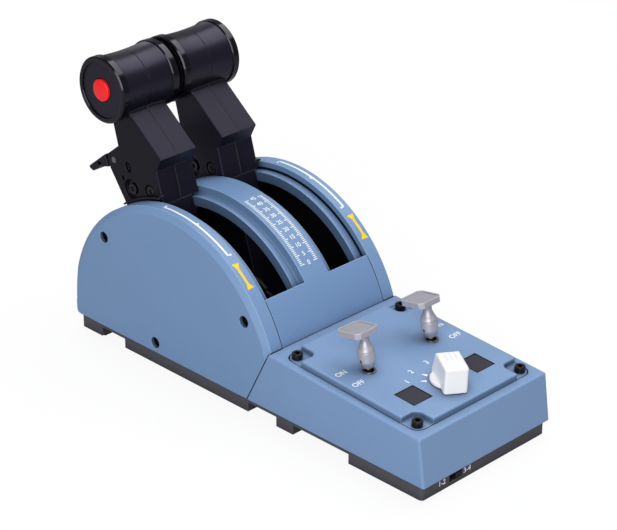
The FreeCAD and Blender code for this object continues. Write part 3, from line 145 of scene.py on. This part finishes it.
def linear(code):
    """A linear colour with alpha from an sRGB hex value."""
    channels = [int(code[index:index + 2], 16) / 255 for index in (1, 3, 5)]
    return [value / 12.92 if value <= 0.04045 else ((value + 0.055) / 1.055) ** 2.4
            for value in channels] + [1.0]


def add_node(tree, kind, settings=None, inputs=None, links=None):
    """Adds a node: settings go on it, inputs on its sockets, and links come from other sockets."""
    node = tree.nodes.new(kind)
    for name, value in (settings or {}).items():
        setattr(node, name, value)
    for name, value in (inputs or {}).items():
        node.inputs[name].default_value = value
    for name, socket in (links or {}).items():
        tree.links.new(socket, node.inputs[name])
    return node


def start_material(name):
    material = bpy.data.materials.new(name)
    material.use_nodes = True
    material.node_tree.nodes.clear()
    return material, material.node_tree


class Field:
    """A number worked out by shader nodes at each point of a surface, with ordinary arithmetic."""

    def __init__(self, tree, socket):
        self.tree = tree
        self.socket = socket

    def math(self, operation, other=0.0):
        node = add_node(self.tree, "ShaderNodeMath", {"operation": operation})
        self.tree.links.new(self.socket, node.inputs[0])
        if isinstance(other, Field):
            self.tree.links.new(other.socket, node.inputs[1])
        else:
            node.inputs[1].default_value = other
        return Field(self.tree, node.outputs["Value"])

    def below(self, limit):
        return self.math("LESS_THAN", limit)

    def above(self, limit):
        return self.math("GREATER_THAN", limit)

    def both(self, other):
        return self.math("MULTIPLY", other)

    def either(self, other):
        return self.math("MAXIMUM", other)

    def near(self, value, reach):
        return self.math("SUBTRACT", value).math("ABSOLUTE").below(reach)


def along(tree, place, origin, direction):
    """How far a point lies from origin, measured along direction."""
    offset = add_node(tree, "ShaderNodeVectorMath", {"operation": "SUBTRACT"})
    tree.links.new(place, offset.inputs[0])
    offset.inputs[1].default_value = origin
    dot = add_node(tree, "ShaderNodeVectorMath", {"operation": "DOT_PRODUCT"})
    tree.links.new(offset.outputs["Vector"], dot.inputs[0])
    dot.inputs[1].default_value = direction
    return Field(tree, dot.outputs["Value"])


# Where the gaps with painted shade run, in millimetres across from the middle.
SEAM_X = 35.5
CREASE_X = 35.4
CONSOLE_SEAM_X = 35.6
RECESS_X = 35.9
BAND_HOLLOW_X = 37.0
COVER_HOLLOW_X = 43.2
PANEL_RECESS_X = 40.9
# Up the panel's slope from its front edge, and below its face.
PANEL_RECESS_MIDDLE = 48.5
PANEL_RECESS_HALF = 43.9
PANEL_RECESS_DEPTH = 2.5
FLANGE_DEPTH = 0.12
BUTTON_HOLE_HALF = 6.55
# Below the drum's top.
LEDGE_FOOT = 9.2
BAND_WALL = 1.8
CREASE_TOP = 3.0
# The thickness of the outer walls and floor, half the widths of the lines of painted shade, how far
# a mark reaches past a surface, and how far below the drum's top the walls with painted shade start.
SHELL_WALL = 1.9
COVER_SEAM_HALF = 0.24
CREASE_HALF = 0.35
CONSOLE_SEAM_HALF = 0.32
PAST_SURFACE = 0.1
UNDER_SURFACE = 0.25
# The slots' near ends, as the sine of their angle from upright towards the user.
SLOT_END_SINE = 0.79
# How far sideways a wall faces at least, how much shade is painted on it, and how much more below
# the ledges.
WALL_FACING = 0.6
WALL_SHARE = 0.36
DEEP_SHARE = 0.24


def drum_inside(tree, place, side, reach):
    """1 inside the drum, as painted shade: under the ledges and behind the covers' bands, within the
    outer walls.
    """
    height = along(tree, place, Vector(), AXIS_Z)
    under_ledges = reach.below(drum_radius - LEDGE_FOOT * MM)
    under_bands = reach.below(drum_radius - BAND_WALL * MM).both(side.above(BAND_HOLLOW_X * MM))
    walled = side.below(COVER_HOLLOW_X * MM).both(height.above(SHELL_WALL * MM))
    walled = walled.both(along(tree, place, cad_box[1], AXIS_Y).below(-SHELL_WALL * MM))
    return under_ledges.either(under_bands).both(walled)


def drum_seams(side, forward, reach):
    """1 on the front cap's seams with the covers, and in the creases beside the ledges, as painted
    shade.
    """
    before_slots = forward.math("ADD", reach.math("MULTIPLY", SLOT_END_SINE)).below(0.0)
    cover_seam = side.near(SEAM_X * MM, COVER_SEAM_HALF * MM)
    cover_seam = cover_seam.both(reach.below(drum_radius + PAST_SURFACE * MM)).both(before_slots)
    ledge_crease = side.near(CREASE_X * MM, CREASE_HALF * MM)
    return cover_seam.either(ledge_crease.both(reach.below(drum_radius - CREASE_TOP * MM)))


def panel_gaps(tree, place, side, depth):
    """1 down the gaps round the panel and round its square buttons, as painted shade."""
    slope = along(tree, place, panel_edge, panel_up)
    over_floor = depth.above(-PANEL_RECESS_DEPTH * MM)
    panel_gap = side.below(PANEL_RECESS_X * MM)
    panel_gap = panel_gap.both(slope.near(PANEL_RECESS_MIDDLE * MM, PANEL_RECESS_HALF * MM))
    panel_gap = panel_gap.both(over_floor).both(depth.below(-FLANGE_DEPTH * MM))
    button_gap = side.near(BUTTON_X * MM, BUTTON_HOLE_HALF * MM)
    button_gap = button_gap.both(slope.near(BUTTON_FROM_EDGE * MM, BUTTON_HOLE_HALF * MM))
    button_gap = button_gap.both(over_floor).both(depth.below(field_height + PAST_SURFACE * MM))
    return panel_gap.either(button_gap)


def dim_walls(tree, side, reach):
    """How much shade is painted on the walls of the recess and the slots: more below the ledges."""
    normal = add_node(tree, "ShaderNodeNewGeometry").outputs["True Normal"]
    walls = along(tree, normal, Vector(), AXIS_X).math("ABSOLUTE").above(WALL_FACING)
    walls = walls.both(side.below(RECESS_X * MM))
    walls = walls.both(reach.below(drum_radius - UNDER_SURFACE * MM))
    deep = walls.both(reach.below(ledge_radius - PAST_SURFACE * MM))
    return walls.math("MULTIPLY", WALL_SHARE).math("ADD", deep.math("MULTIPLY", DEEP_SHARE))


def dark_places(tree, place):
    """Two shares of painted shade, in black, on the drum, its covers and the console.

    The first is 1 inside the drum and down the narrow gaps. The second is shade painted on the walls
    of the slots, which little light reaches.
    """
    side = along(tree, place, Vector(), AXIS_X).math("ABSOLUTE")
    forward = along(tree, place, pivot, AXIS_Y)
    upward = along(tree, place, pivot, AXIS_Z)
    reach = forward.both(forward).math("ADD", upward.both(upward)).math("SQRT")
    depth = along(tree, place, panel_edge, panel_normal)
    # Painted shade down the seam between the console and the covers.
    console_seam = along(tree, place, seam_foot, seam_normal).near(0.0, CONSOLE_SEAM_HALF * MM)
    console_seam = console_seam.both(side.above(CONSOLE_SEAM_X * MM))
    console_seam = console_seam.both(depth.below(PAST_SURFACE * MM))
    gaps = drum_seams(side, forward, reach).either(panel_gaps(tree, place, side, depth))
    black = drum_inside(tree, place, side, reach).either(gaps).either(console_seam)
    return black, dim_walls(tree, side, reach)


# Half the width of an arm's parting line, how deep its recesses' floors lie at least and how far
# sideways they face, and how black the painted shade on both is.
PARTING_HALF = 0.34
FLOOR_DEPTH = 0.7
FLOOR_FACING = 0.9
ARM_SHARE = 0.85


def arm_marks(tree, place):
    """The share of black painted as shade on a lever's arm: its parting line and the floors of its
    recesses.
    """
    side = along(tree, place, Vector(), AXIS_X).math("ABSOLUTE").math("SUBTRACT", arm_middle)
    side = side.math("ABSOLUTE")
    normal = add_node(tree, "ShaderNodeNewGeometry").outputs["True Normal"]
    floors = along(tree, normal, Vector(), AXIS_X).math("ABSOLUTE").above(FLOOR_FACING)
    floors = floors.both(side.below(arm_half - FLOOR_DEPTH * MM))
    return side.below(PARTING_HALF * MM).either(floors).math("MULTIPLY", ARM_SHARE)


# How far a colour drifts either way, and how much lighter than it a corner's painted highlight is.
TONE_DRIFT = 0.04
PALE_GAIN = 1.35
PALE_LIFT = 0.08
# The black that painted shade darkens a colour towards.
SHADE_BLACK = "#040506"
# Millimetres within which painted shade darkens a close corner.
CORNER_REACH = 7.0


def moulded(name, colour, roughness, grain, bump, specular=0.5, coat=0.0, metallic=0.0, edge=0.35,
            edge_highlight=0.0, glint="#FFFFFF", corner_shade=False, gap_shade=False, arm=False):
    """Moulded plastic or plain metal: a fine grain in the relief and a faint drift in the colour.

    grain and edge are in millimetres: the grain's pitch and the radius that corners are eased by.
    edge_highlight is the strength of a painted highlight on the corners, and glint tints what the
    surface mirrors.
    corner_shade paints shade into close corners; gap_shade also paints black shade inside the drum,
    down the gaps of the drum and the console and on the slots' walls, and arm on an arm's parting
    line and the floors of its recesses.
    """
    material, tree = start_material(name)
    place = add_node(tree, "ShaderNodeTexCoord").outputs["Object"]
    drift = add_node(tree, "ShaderNodeTexNoise", inputs={"Scale": 28.0, "Detail": 3.0},
                     links={"Vector": place})
    speckle = add_node(tree, "ShaderNodeTexNoise",
                       inputs={"Scale": 1 / (grain * MM), "Detail": 2.0}, links={"Vector": place})
    base = linear(colour)
    dark = [value * (1 - TONE_DRIFT) for value in base[:3]] + [1.0]
    light = [min(1.0, value * (1 + TONE_DRIFT)) for value in base[:3]] + [1.0]
    shade = add_node(tree, "ShaderNodeMix", {"data_type": "RGBA"}, {6: dark, 7: light},
                     {"Factor": drift.outputs["Fac"]})
    eased = add_node(tree, "ShaderNodeBevel", {"samples": 6}, {"Radius": edge * MM})
    tint = shade.outputs[2]
    # Painted highlight: eased corners are lightened towards a paler tint.
    if edge_highlight:
        flat = add_node(tree, "ShaderNodeNewGeometry")
        facing = add_node(tree, "ShaderNodeVectorMath", {"operation": "DOT_PRODUCT"},
                          links={0: flat.outputs["True Normal"], 1: eased.outputs["Normal"]})
        edge_lit = add_node(tree, "ShaderNodeMapRange",
                          inputs={"From Min": 0.995, "From Max": 0.91, "To Max": edge_highlight},
                          links={"Value": facing.outputs["Value"]})
        pale = [min(1.0, value * PALE_GAIN + PALE_LIFT) for value in base[:3]] + [1.0]
        lit_edges = add_node(tree, "ShaderNodeMix", {"data_type": "RGBA"}, {7: pale},
                        {"Factor": edge_lit.outputs["Result"], 6: tint})
        tint = lit_edges.outputs[2]
    # Painted shade: close corners, and the drum's and arms' shaded places, darken towards black.
    if corner_shade or gap_shade:
        corner = add_node(tree, "ShaderNodeAmbientOcclusion", {"samples": 8},
                          {"Distance": CORNER_REACH * MM})
        occlusion_shade = add_node(tree, "ShaderNodeMapRange",
                          inputs={"From Min": 0.95, "From Max": 0.35, "To Max": 0.7},
                          links={"Value": corner.outputs["AO"]})
        painted_shade = Field(tree, occlusion_shade.outputs["Result"])
        if gap_shade:
            black, wall_shade = dark_places(tree, place)
            painted_shade = painted_shade.either(wall_shade).either(black)
        if arm:
            painted_shade = painted_shade.either(arm_marks(tree, place))
        shade_mix = add_node(tree, "ShaderNodeMix", {"data_type": "RGBA"}, {7: linear(SHADE_BLACK)},
                        {"Factor": painted_shade.socket, 6: tint})
        tint = shade_mix.outputs[2]
    sheen = add_node(tree, "ShaderNodeMapRange",
                     inputs={"To Min": roughness - 0.05, "To Max": roughness + 0.05},
                     links={"Value": speckle.outputs["Fac"]})
    relief = add_node(tree, "ShaderNodeBump", inputs={"Strength": bump, "Distance": 0.05 * MM},
                      links={"Height": speckle.outputs["Fac"], "Normal": eased.outputs["Normal"]})
    shader = add_node(tree, "ShaderNodeBsdfPrincipled",
                      inputs={"Metallic": metallic, "Specular IOR Level": specular,
                              "Specular Tint": linear(glint),
                              "Coat Weight": coat, "Coat Roughness": 0.12},
                      links={"Base Color": tint, "Roughness": sheen.outputs["Result"],
                             "Normal": relief.outputs["Normal"]})
    add_node(tree, "ShaderNodeOutputMaterial", links={"Surface": shader.outputs["BSDF"]})
    return material


# Spark-eroded ABS, a slightly different blue for each moulding: an even, dry sheen.
# Each has a painted highlight on its edges and painted shade in its gaps, slot walls and inside the
# drum.
shell_blue = moulded("blue_abs", "#7595BD", 0.44, 0.30, 0.12, edge=0.7, edge_highlight=0.9, gap_shade=True)
centre_blue = moulded("blue_abs_centre", "#6F8FB8", 0.44, 0.30, 0.12, edge=0.7, edge_highlight=0.9,
                      gap_shade=True)
console_blue = moulded("blue_abs_console", "#7A98C0", 0.44, 0.30, 0.10, edge=0.6, edge_highlight=0.7,
                       gap_shade=True)
# Dark grey ABS of the base: a faint painted highlight on its edges and painted shade in close
# corners.
base_dark = moulded("dark_grey_abs", "#4F4D54", 0.50, 0.35, 0.15, edge=0.5, edge_highlight=0.3,
                    corner_shade=True)
# Black ABS of the levers: satin with a cool sheen, and a painted highlight on every edge.
COOL_SHEEN = "#D5D0F4"
# Painted shade in close corners of arms, levers and grips, and on the arms down the parting line and
# recesses.
arm_black = moulded("black_abs_arm", "#12101B", 0.42, 0.30, 0.12, specular=0.36, edge=0.6, edge_highlight=0.6,
                    glint=COOL_SHEEN, corner_shade=True, arm=True)
lever_black = moulded("black_abs", "#12101B", 0.42, 0.30, 0.12, specular=0.36, edge=0.6, edge_highlight=0.6,
                      glint=COOL_SHEEN, corner_shade=True)
grip_satin = moulded("black_abs_grip", "#13111C", 0.34, 0.25, 0.06, glint=COOL_SHEEN,
                     corner_shade=True)
# Polished black ABS: mirror-like rings at the ends of the grips.
ring_gloss = moulded("polished_black_abs", "#09080D", 0.17, 0.40, 0.02, specular=0.4, coat=0.2,
                     glint="#E0DCF6")
# Moulded caps: glossy red, and a softer white whose edges still show.
button_red = moulded("red_abs", "#FF2628", 0.26, 0.40, 0.03, specular=0.35)
knob_white = moulded("white_abs", "#F4F4F3", 0.32, 0.35, 0.06, edge=0.6)
# Smoked polycarbonate over a dark switch: no gloss, a fine sandy grain and a faint painted edge
# highlight.
button_grey = moulded("smoke_polycarbonate", "#2D2C38", 0.60, 0.18, 0.25, specular=0.35, edge=0.3,
                      edge_highlight=0.4)
# Bead-blasted and clear anodised aluminium: a soft, cool grey with a painted highlight on its edges.
# Painted shade in its close corners.
toggle_metal = moulded("blasted_aluminium", "#B8B5BE", 0.40, 0.16, 0.15, metallic=0.4, edge=0.5,
                       edge_highlight=1.0, corner_shade=True)
# Bright nickel plate, black oxide that keeps a little gloss, and bare turned steel.
chrome_ring = moulded("nickel_plated_brass", "#B4B1AC", 0.18, 0.40, 0.04, metallic=1.0, edge=0.15)
# Painted shade in the screws' close corners.
screw_black = moulded("black_oxide_steel", "#0E0E11", 0.28, 0.20, 0.15, metallic=0.2, edge=0.15,
                      corner_shade=True)
plain_steel = moulded("turned_steel", "#8E8E92", 0.30, 0.20, 0.10, metallic=1.0, edge=0.15)
# Parts inside the body in their own dark colours, darkened further as painted shade so they show
# only as darkness, and the soft pads under it.
inner_black = moulded("black_nylon", "#09090B", 0.60, 0.40, 0.20)
board_green = moulded("solder_mask_green", "#08130D", 0.35, 0.60, 0.10)
foot_rubber = moulded("foam_rubber", "#1A1A1C", 0.85, 0.50, 0.50)
# Pad-printed ink: flat, with no corner to ease.
print_white = moulded("white_print", "#EEF2F8", 0.55, 0.30, 0.05, edge=0.02)
print_yellow = moulded("yellow_print", "#F7D21E", 0.55, 0.30, 0.05, edge=0.02)

FINISHES = {
    shell_blue: ["left_side_cover", "right_side_cover"],
    centre_blue: ["centre_body"],
    console_blue: ["console_shell", "panel_plate"],
    base_dark: ["base_housing"],
    foot_rubber: ["base_feet"],
    screw_black: ["base_screws", "cover_screws", "panel_screws", "left_arm_screws",
                  "right_arm_screws"],
    plain_steel: ["left_latch_pin", "right_latch_pin", "lever_shaft", "shaft_clips", "rear_socket",
                  "selector_shaft", "left_magnet", "right_magnet"],
    inner_black: ["shaft_carrier", "left_detent_sector", "right_detent_sector", "selector_encoder",
                  "button_switches", "slide_switch", "friction_washers", "hall_sensors",
                  "left_grip_switch", "right_grip_switch", "engine_slider"],
    board_green: ["main_board", "panel_board"],
    knob_white: ["selector_knob"],
    button_grey: ["left_square_button", "right_square_button"],
    toggle_metal: ["left_toggle_sleeve", "right_toggle_sleeve"],
    chrome_ring: ["toggle_switches", "left_toggle_bat", "right_toggle_bat"],
    arm_black: [f"{side}_{piece}" for side in ("left", "right")
                for piece in ("arm_outer", "arm_inner")],
    lever_black: [f"{side}_{piece}" for side in ("left", "right")
                  for piece in ("lever_core", "reverse_latch")],
    grip_satin: [f"{side}_{piece}" for side in ("left", "right")
                 for piece in ("grip_outer", "grip_inner", "grip_caps")],
    ring_gloss: ["left_grip_rings", "right_grip_rings"],
    button_red: ["left_disconnect_button", "right_disconnect_button"],
}
for finish, names in FINISHES.items():
    for name in names:
        materials = frame["nodes"][name].data.materials
        materials.clear()
        materials.append(finish)


# ------------------------------------------------------------------ building pieces

PRINT = 0.03 * MM
# Degrees of the drum that one facet of a printed band spans.
BAND_STEP = 2
# A capital's height as a share of the font's size, and how much bolder than the font it is printed.
CAPITAL_SHARE = 0.7
BOLDER = 0.022


def finish_piece(name, shape, material, body):
    """Turns a bmesh into a finished piece that rides on a body."""
    bmesh.ops.recalc_face_normals(shape, faces=shape.faces)
    mesh = bpy.data.meshes.new(name)
    shape.to_mesh(mesh)
    shape.free()
    mesh.materials.append(material)
    piece = bpy.data.objects.new(name, mesh)
    bpy.context.scene.collection.objects.link(piece)
    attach(piece, body)


def add_slab(shape, matrix, x0, y0, x1, y1, thick=PRINT):
    """A thin block that lies on a surface, between two corners in millimetres."""
    size = Matrix.Diagonal(((x1 - x0) * MM, (y1 - y0) * MM, thick, 1))
    middle = Matrix.Translation(((x0 + x1) / 2 * MM, (y0 + y1) / 2 * MM, thick / 2))
    bmesh.ops.create_cube(shape, size=1.0, matrix=matrix @ middle @ size)


def add_patch(shape, matrix, corners):
    """A thin flat polygon on a surface; corners are in millimetres."""
    points = [shape.verts.new(matrix @ Vector((x * MM, y * MM, 0))) for x, y in corners]
    face = shape.faces.new(points)
    grown = bmesh.ops.extrude_face_region(shape, geom=[face])["geom"]
    raised = [item for item in grown if isinstance(item, bmesh.types.BMVert)]
    bmesh.ops.translate(shape, verts=raised, vec=matrix.to_3x3().col[2] * PRINT)


def add_band(shape, x0, x1, start, end):
    """A thin strip that follows the drum, between two angles in degrees forward of upright."""
    origin = on_drum(0, start)
    low = on_drum(x0, start).translation
    high = on_drum(x1, start).translation
    out = origin.to_3x3().col[2] * PRINT
    corners = [shape.verts.new(point) for point in (low, high, high + out, low + out)]
    ring = shape.faces.new(corners)
    steps = max(2, int(abs(end - start) / BAND_STEP))
    bmesh.ops.spin(shape, geom=[ring], cent=pivot, axis=-AXIS_X, angle=math.radians(end - start),
                   steps=steps)


def lettering(name, words, height, matrix, material, body):
    """Printed characters: height is a capital's height in millimetres."""
    curve = bpy.data.curves.new(name, "FONT")
    curve.body = words
    curve.size = height * MM / CAPITAL_SHARE
    curve.align_x = "CENTER"
    curve.align_y = "CENTER"
    curve.extrude = PRINT / 2
    curve.offset = BOLDER * height * MM
    text = bpy.data.objects.new(name, curve)
    bpy.context.scene.collection.objects.link(text)
    depsgraph = bpy.context.evaluated_depsgraph_get()
    mesh = bpy.data.meshes.new_from_object(text.evaluated_get(depsgraph))
    bpy.data.objects.remove(text)
    mesh.transform(matrix @ Matrix.Translation((0, 0, PRINT / 2)))
    mesh.materials.clear()
    mesh.materials.append(material)
    piece = bpy.data.objects.new(name, mesh)
    bpy.context.scene.collection.objects.link(piece)
    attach(piece, body)


# ------------------------------------------------------------------ printed marks

FIELD = field_height / MM
ON_FIELD = FIELD + PRINT_LIFT
# The scale between the levers, in degrees forward of upright, units and millimetres.
SCALE_FIRST = -45.5
SCALE_LAST = -11.4
SCALE_UNITS = 45
SCALE_HALF = 5.9
TICK_HALF = 0.24
# The ranges on the covers' bands, in degrees, and the lines that show them, in millimetres.
WHITE_RANGE = (5.0, -31.0)
WHITE_ARROW = -12.8
YELLOW_RANGE = (-35.2, -45.8)
BAND_LINE_X = 39.9
WHITE_HALF = 0.6
YELLOW_HALF = 0.75
END_HALF_ANGLE = 0.35


def scale_angle(reading):
    return SCALE_FIRST + (SCALE_LAST - SCALE_FIRST) * reading / SCALE_UNITS


def print_scale():
    """The ticks and numbers between the levers."""
    ticks = bmesh.new()
    for reading in range(SCALE_UNITS + 1):
        length = 2.9 if reading % 5 == 0 else 1.8
        matrix = on_drum(0, scale_angle(reading))
        add_slab(ticks, matrix, -SCALE_HALF, -TICK_HALF, -SCALE_HALF + length, TICK_HALF)
        add_slab(ticks, matrix, SCALE_HALF - length, -TICK_HALF, SCALE_HALF, TICK_HALF)
    finish_piece("scale_ticks", ticks, print_white, "housing")
    for reading in range(0, SCALE_UNITS + 1, 5):
        matrix = on_drum(0, scale_angle(reading))
        lettering(f"scale_number_{reading:02d}", str(reading), 2.4, matrix, print_white, "housing")


def print_band_marks(side, label):
    """A white range with an arrow and a yellow range with pointed ends, beside one lever's slot."""
    line = BAND_LINE_X

    def across(low, high):
        """Levels on this side's band, from the slot outwards."""
        return (low * side, high * side) if side > 0 else (high * side, low * side)

    white = bmesh.new()
    add_band(white, *across(line - WHITE_HALF, line + WHITE_HALF), *WHITE_RANGE)
    for angle in WHITE_RANGE:
        add_band(white, *across(line - 2.2, line - WHITE_HALF), angle + END_HALF_ANGLE,
                 angle - END_HALF_ANGLE)
    add_patch(white, on_drum(0, WHITE_ARROW),
              [((line - 2.0) * side, 0), ((line - 0.4) * side, -1.1), ((line - 0.4) * side, 1.1)])
    finish_piece(f"{label}_white_range", white, print_white, "housing")

    yellow = bmesh.new()
    add_band(yellow, *across(line - YELLOW_HALF, line + YELLOW_HALF), *YELLOW_RANGE)
    for angle, way in ((-34.9, -1), (-46.0, 1)):
        add_patch(yellow, on_drum(0, angle),
                  [((line - 2.5) * side, 0.3 * way), ((line + 1.9) * side, 0.0),
                   ((line + 0.8) * side, 3.0 * way), ((line - 0.8) * side, 3.0 * way)])
    finish_piece(f"{label}_yellow_range", yellow, print_yellow, "housing")


def print_panel():
    """The selector's pointers and numbers, and the words beside the toggle switches."""
    knob = on_panel(0, KNOB_FROM_EDGE, ON_FIELD)
    pointers = bmesh.new()
    for x, y in ((-14.0, 11.0), (-6.5, 15.0), (4.0, 15.5)):
        turned = knob @ Matrix.Rotation(math.atan2(y, x), 4, "Z")
        add_patch(pointers, turned, [(10.4, -0.9), (13.2, -0.25), (13.2, 0.25), (10.4, 0.9)])
    finish_piece("selector_pointers", pointers, print_white, "housing")
    for side, label in ((-1, "left"), (1, "right")):
        for words, s in (("ON", 60.5), ("OFF", 49.0)):
            matrix = on_panel(34.0 * side, s, ON_FIELD)
            lettering(f"{label}_{words.lower()}_mark", words, 3.0, matrix, print_white, "housing")
    for words, x, s in (("1", -15.5, 35.0), ("2", -7.5, 40.0), ("3", 4.5, 41.0)):
        lettering(f"selector_mark_{words}", words, 3.0, on_panel(x, s, ON_FIELD), print_white,
                  "housing")


def print_base():
    """The pairs that the slide switch chooses between."""
    for words, x in (("1-2", -30.0), ("3-4", -12.5)):
        lettering(f"pair_mark_{words}", words, 2.7, on_base_front(x, 5.0), print_white, "housing")


print_scale()
for side, label in ((-1, "left"), (1, "right")):
    print_band_marks(side, label)
print_panel()
print_base()


# ------------------------------------------------------------------ small solid pieces

def rounded_slab(matrix, half, corner, thick, eased):
    """A square block with rounded corners and an eased top, in millimetres, on a surface."""
    shape = bmesh.new()
    size = Matrix.Diagonal((2 * half * MM, 2 * half * MM, thick * MM, 1))
    bmesh.ops.create_cube(shape, size=1.0, matrix=Matrix.Translation((0, 0, thick / 2 * MM)) @ size)
    upright = [edge for edge in shape.edges
               if abs(edge.verts[0].co.z - edge.verts[1].co.z) > 0.01 * MM]
    bmesh.ops.bevel(shape, geom=upright, offset=corner * MM, segments=6, profile=0.5,
                    affect="EDGES", material=-1)
    top = [edge for edge in shape.edges
           if all(vert.co.z > (thick - 0.01) * MM for vert in edge.verts)]
    bmesh.ops.bevel(shape, geom=top, offset=eased * MM, segments=2, profile=0.5,
                    affect="EDGES", material=-1)
    bmesh.ops.transform(shape, matrix=matrix, verts=shape.verts)
    return shape


def build_button_faces():
    """Smoked lenses that bring the square buttons up to the panel."""
    for side, label in ((-1, "left"), (1, "right")):
        node = frame["nodes"][f"{label}_square_button"]
        top = max((corner.co - panel_edge).dot(panel_normal) for corner in node.data.vertices) / MM
        place = on_panel(BUTTON_X * side, BUTTON_FROM_EDGE, top)
        lens = rounded_slab(place, half=5.95, corner=0.9, thick=FIELD - top - 0.04, eased=0.2)
        finish_piece(f"{label}_button_face", lens, button_grey, f"{label}_button")


# The lip's foot, in millimetres up the panel's slope, half its width, its height and thickness.
LIP_FROM_EDGE = 98.85
LIP_HALF = 35.2
LIP_HEIGHT = 1.2
LIP_THICK = 0.23


def build_foot_lip():
    """The lip of the drum's front cap, which closes its gap to the console."""
    lip = bmesh.new()
    add_slab(lip, on_panel(0, LIP_FROM_EDGE), -LIP_HALF, 0.0, LIP_HALF, LIP_HEIGHT, LIP_THICK * MM)
    finish_piece("cap_foot_lip", lip, centre_blue, "housing")


build_button_faces()
build_foot_lip()


# ------------------------------------------------------------------ floor, light and camera

def build_studio():
    """A pale floor that looks white to the camera, three soft lamps, and the camera."""
    scene = bpy.context.scene
    scene.view_settings.view_transform = "Standard"

    floor = bmesh.new()
    bmesh.ops.create_grid(floor, x_segments=1, y_segments=1, size=8.0)
    mesh = bpy.data.meshes.new("floor")
    floor.to_mesh(mesh)
    floor.free()
    material, tree = start_material("pale_paper")
    rays = add_node(tree, "ShaderNodeLightPath")
    tone = add_node(tree, "ShaderNodeMix", {"data_type": "RGBA"},
                    {6: linear("#A8A8AA"), 7: linear("#F6F6F6")},
                    {"Factor": rays.outputs["Is Camera Ray"]})
    paper = add_node(tree, "ShaderNodeBsdfDiffuse", links={"Color": tone.outputs[2]})
    glow = add_node(tree, "ShaderNodeEmission", inputs={"Color": (1, 1, 1, 1), "Strength": 1.0})
    glow_share = add_node(tree, "ShaderNodeMath", {"operation": "MULTIPLY"}, {1: 0.9},
                          {0: rays.outputs["Is Camera Ray"]})
    blend = add_node(tree, "ShaderNodeMixShader", links={0: glow_share.outputs["Value"],
                                                         1: paper.outputs["BSDF"],
                                                         2: glow.outputs["Emission"]})
    add_node(tree, "ShaderNodeOutputMaterial", links={"Surface": blend.outputs["Shader"]})
    mesh.materials.append(material)
    ground = bpy.data.objects.new("floor", mesh)
    scene.collection.objects.link(ground)

    world = bpy.data.worlds.new("studio")
    scene.world = world
    world.use_nodes = True
    tree = world.node_tree
    tree.nodes.clear()
    rays = add_node(tree, "ShaderNodeLightPath")
    soft = add_node(tree, "ShaderNodeBackground",
                    inputs={"Color": linear("#F0F1FA"), "Strength": 0.2})
    white = add_node(tree, "ShaderNodeBackground",
                     inputs={"Color": (1, 1, 1, 1), "Strength": 1.0})
    blend = add_node(tree, "ShaderNodeMixShader", links={0: rays.outputs["Is Camera Ray"],
                                                         1: soft.outputs["Background"],
                                                         2: white.outputs["Background"]})
    add_node(tree, "ShaderNodeOutputWorld", links={"Surface": blend.outputs["Shader"]})

    middle = Vector((0, 0, 0.06))
    for name, place, size, power in (
        ("key_softbox", (0.50, 0.00, 1.30), 1.2, 12.6),
        ("fill_softbox", (-1.15, -0.85, 0.75), 1.3, 24.0),
        ("rim_softbox", (0.30, 1.10, 0.70), 0.7, 4.0),
    ):
        lamp = bpy.data.lights.new(name, "AREA")
        lamp.shape = "SQUARE"
        lamp.size = size
        lamp.energy = power
        holder = bpy.data.objects.new(name, lamp)
        holder.location = place
        holder.rotation_euler = (middle - Vector(place)).to_track_quat("-Z", "Y").to_euler()
        scene.collection.objects.link(holder)

    camera = bpy.data.cameras.new("camera")
    camera.sensor_width = 36.0
    camera.lens = 125.8
    camera.shift_x = -0.0072
    camera.shift_y = 0.0074
    camera.clip_start = 0.05
    camera.clip_end = 20.0
    viewer = bpy.data.objects.new("camera", camera)
    place = Vector((-0.6712, -0.6805, 0.5379))
    target = Vector((-0.0057, -0.0131, 0.0683))
    viewer.location = place
    viewer.rotation_euler = (target - place).to_track_quat("-Z", "Y").to_euler()
    scene.collection.objects.link(viewer)
    scene.camera = viewer


build_studio()
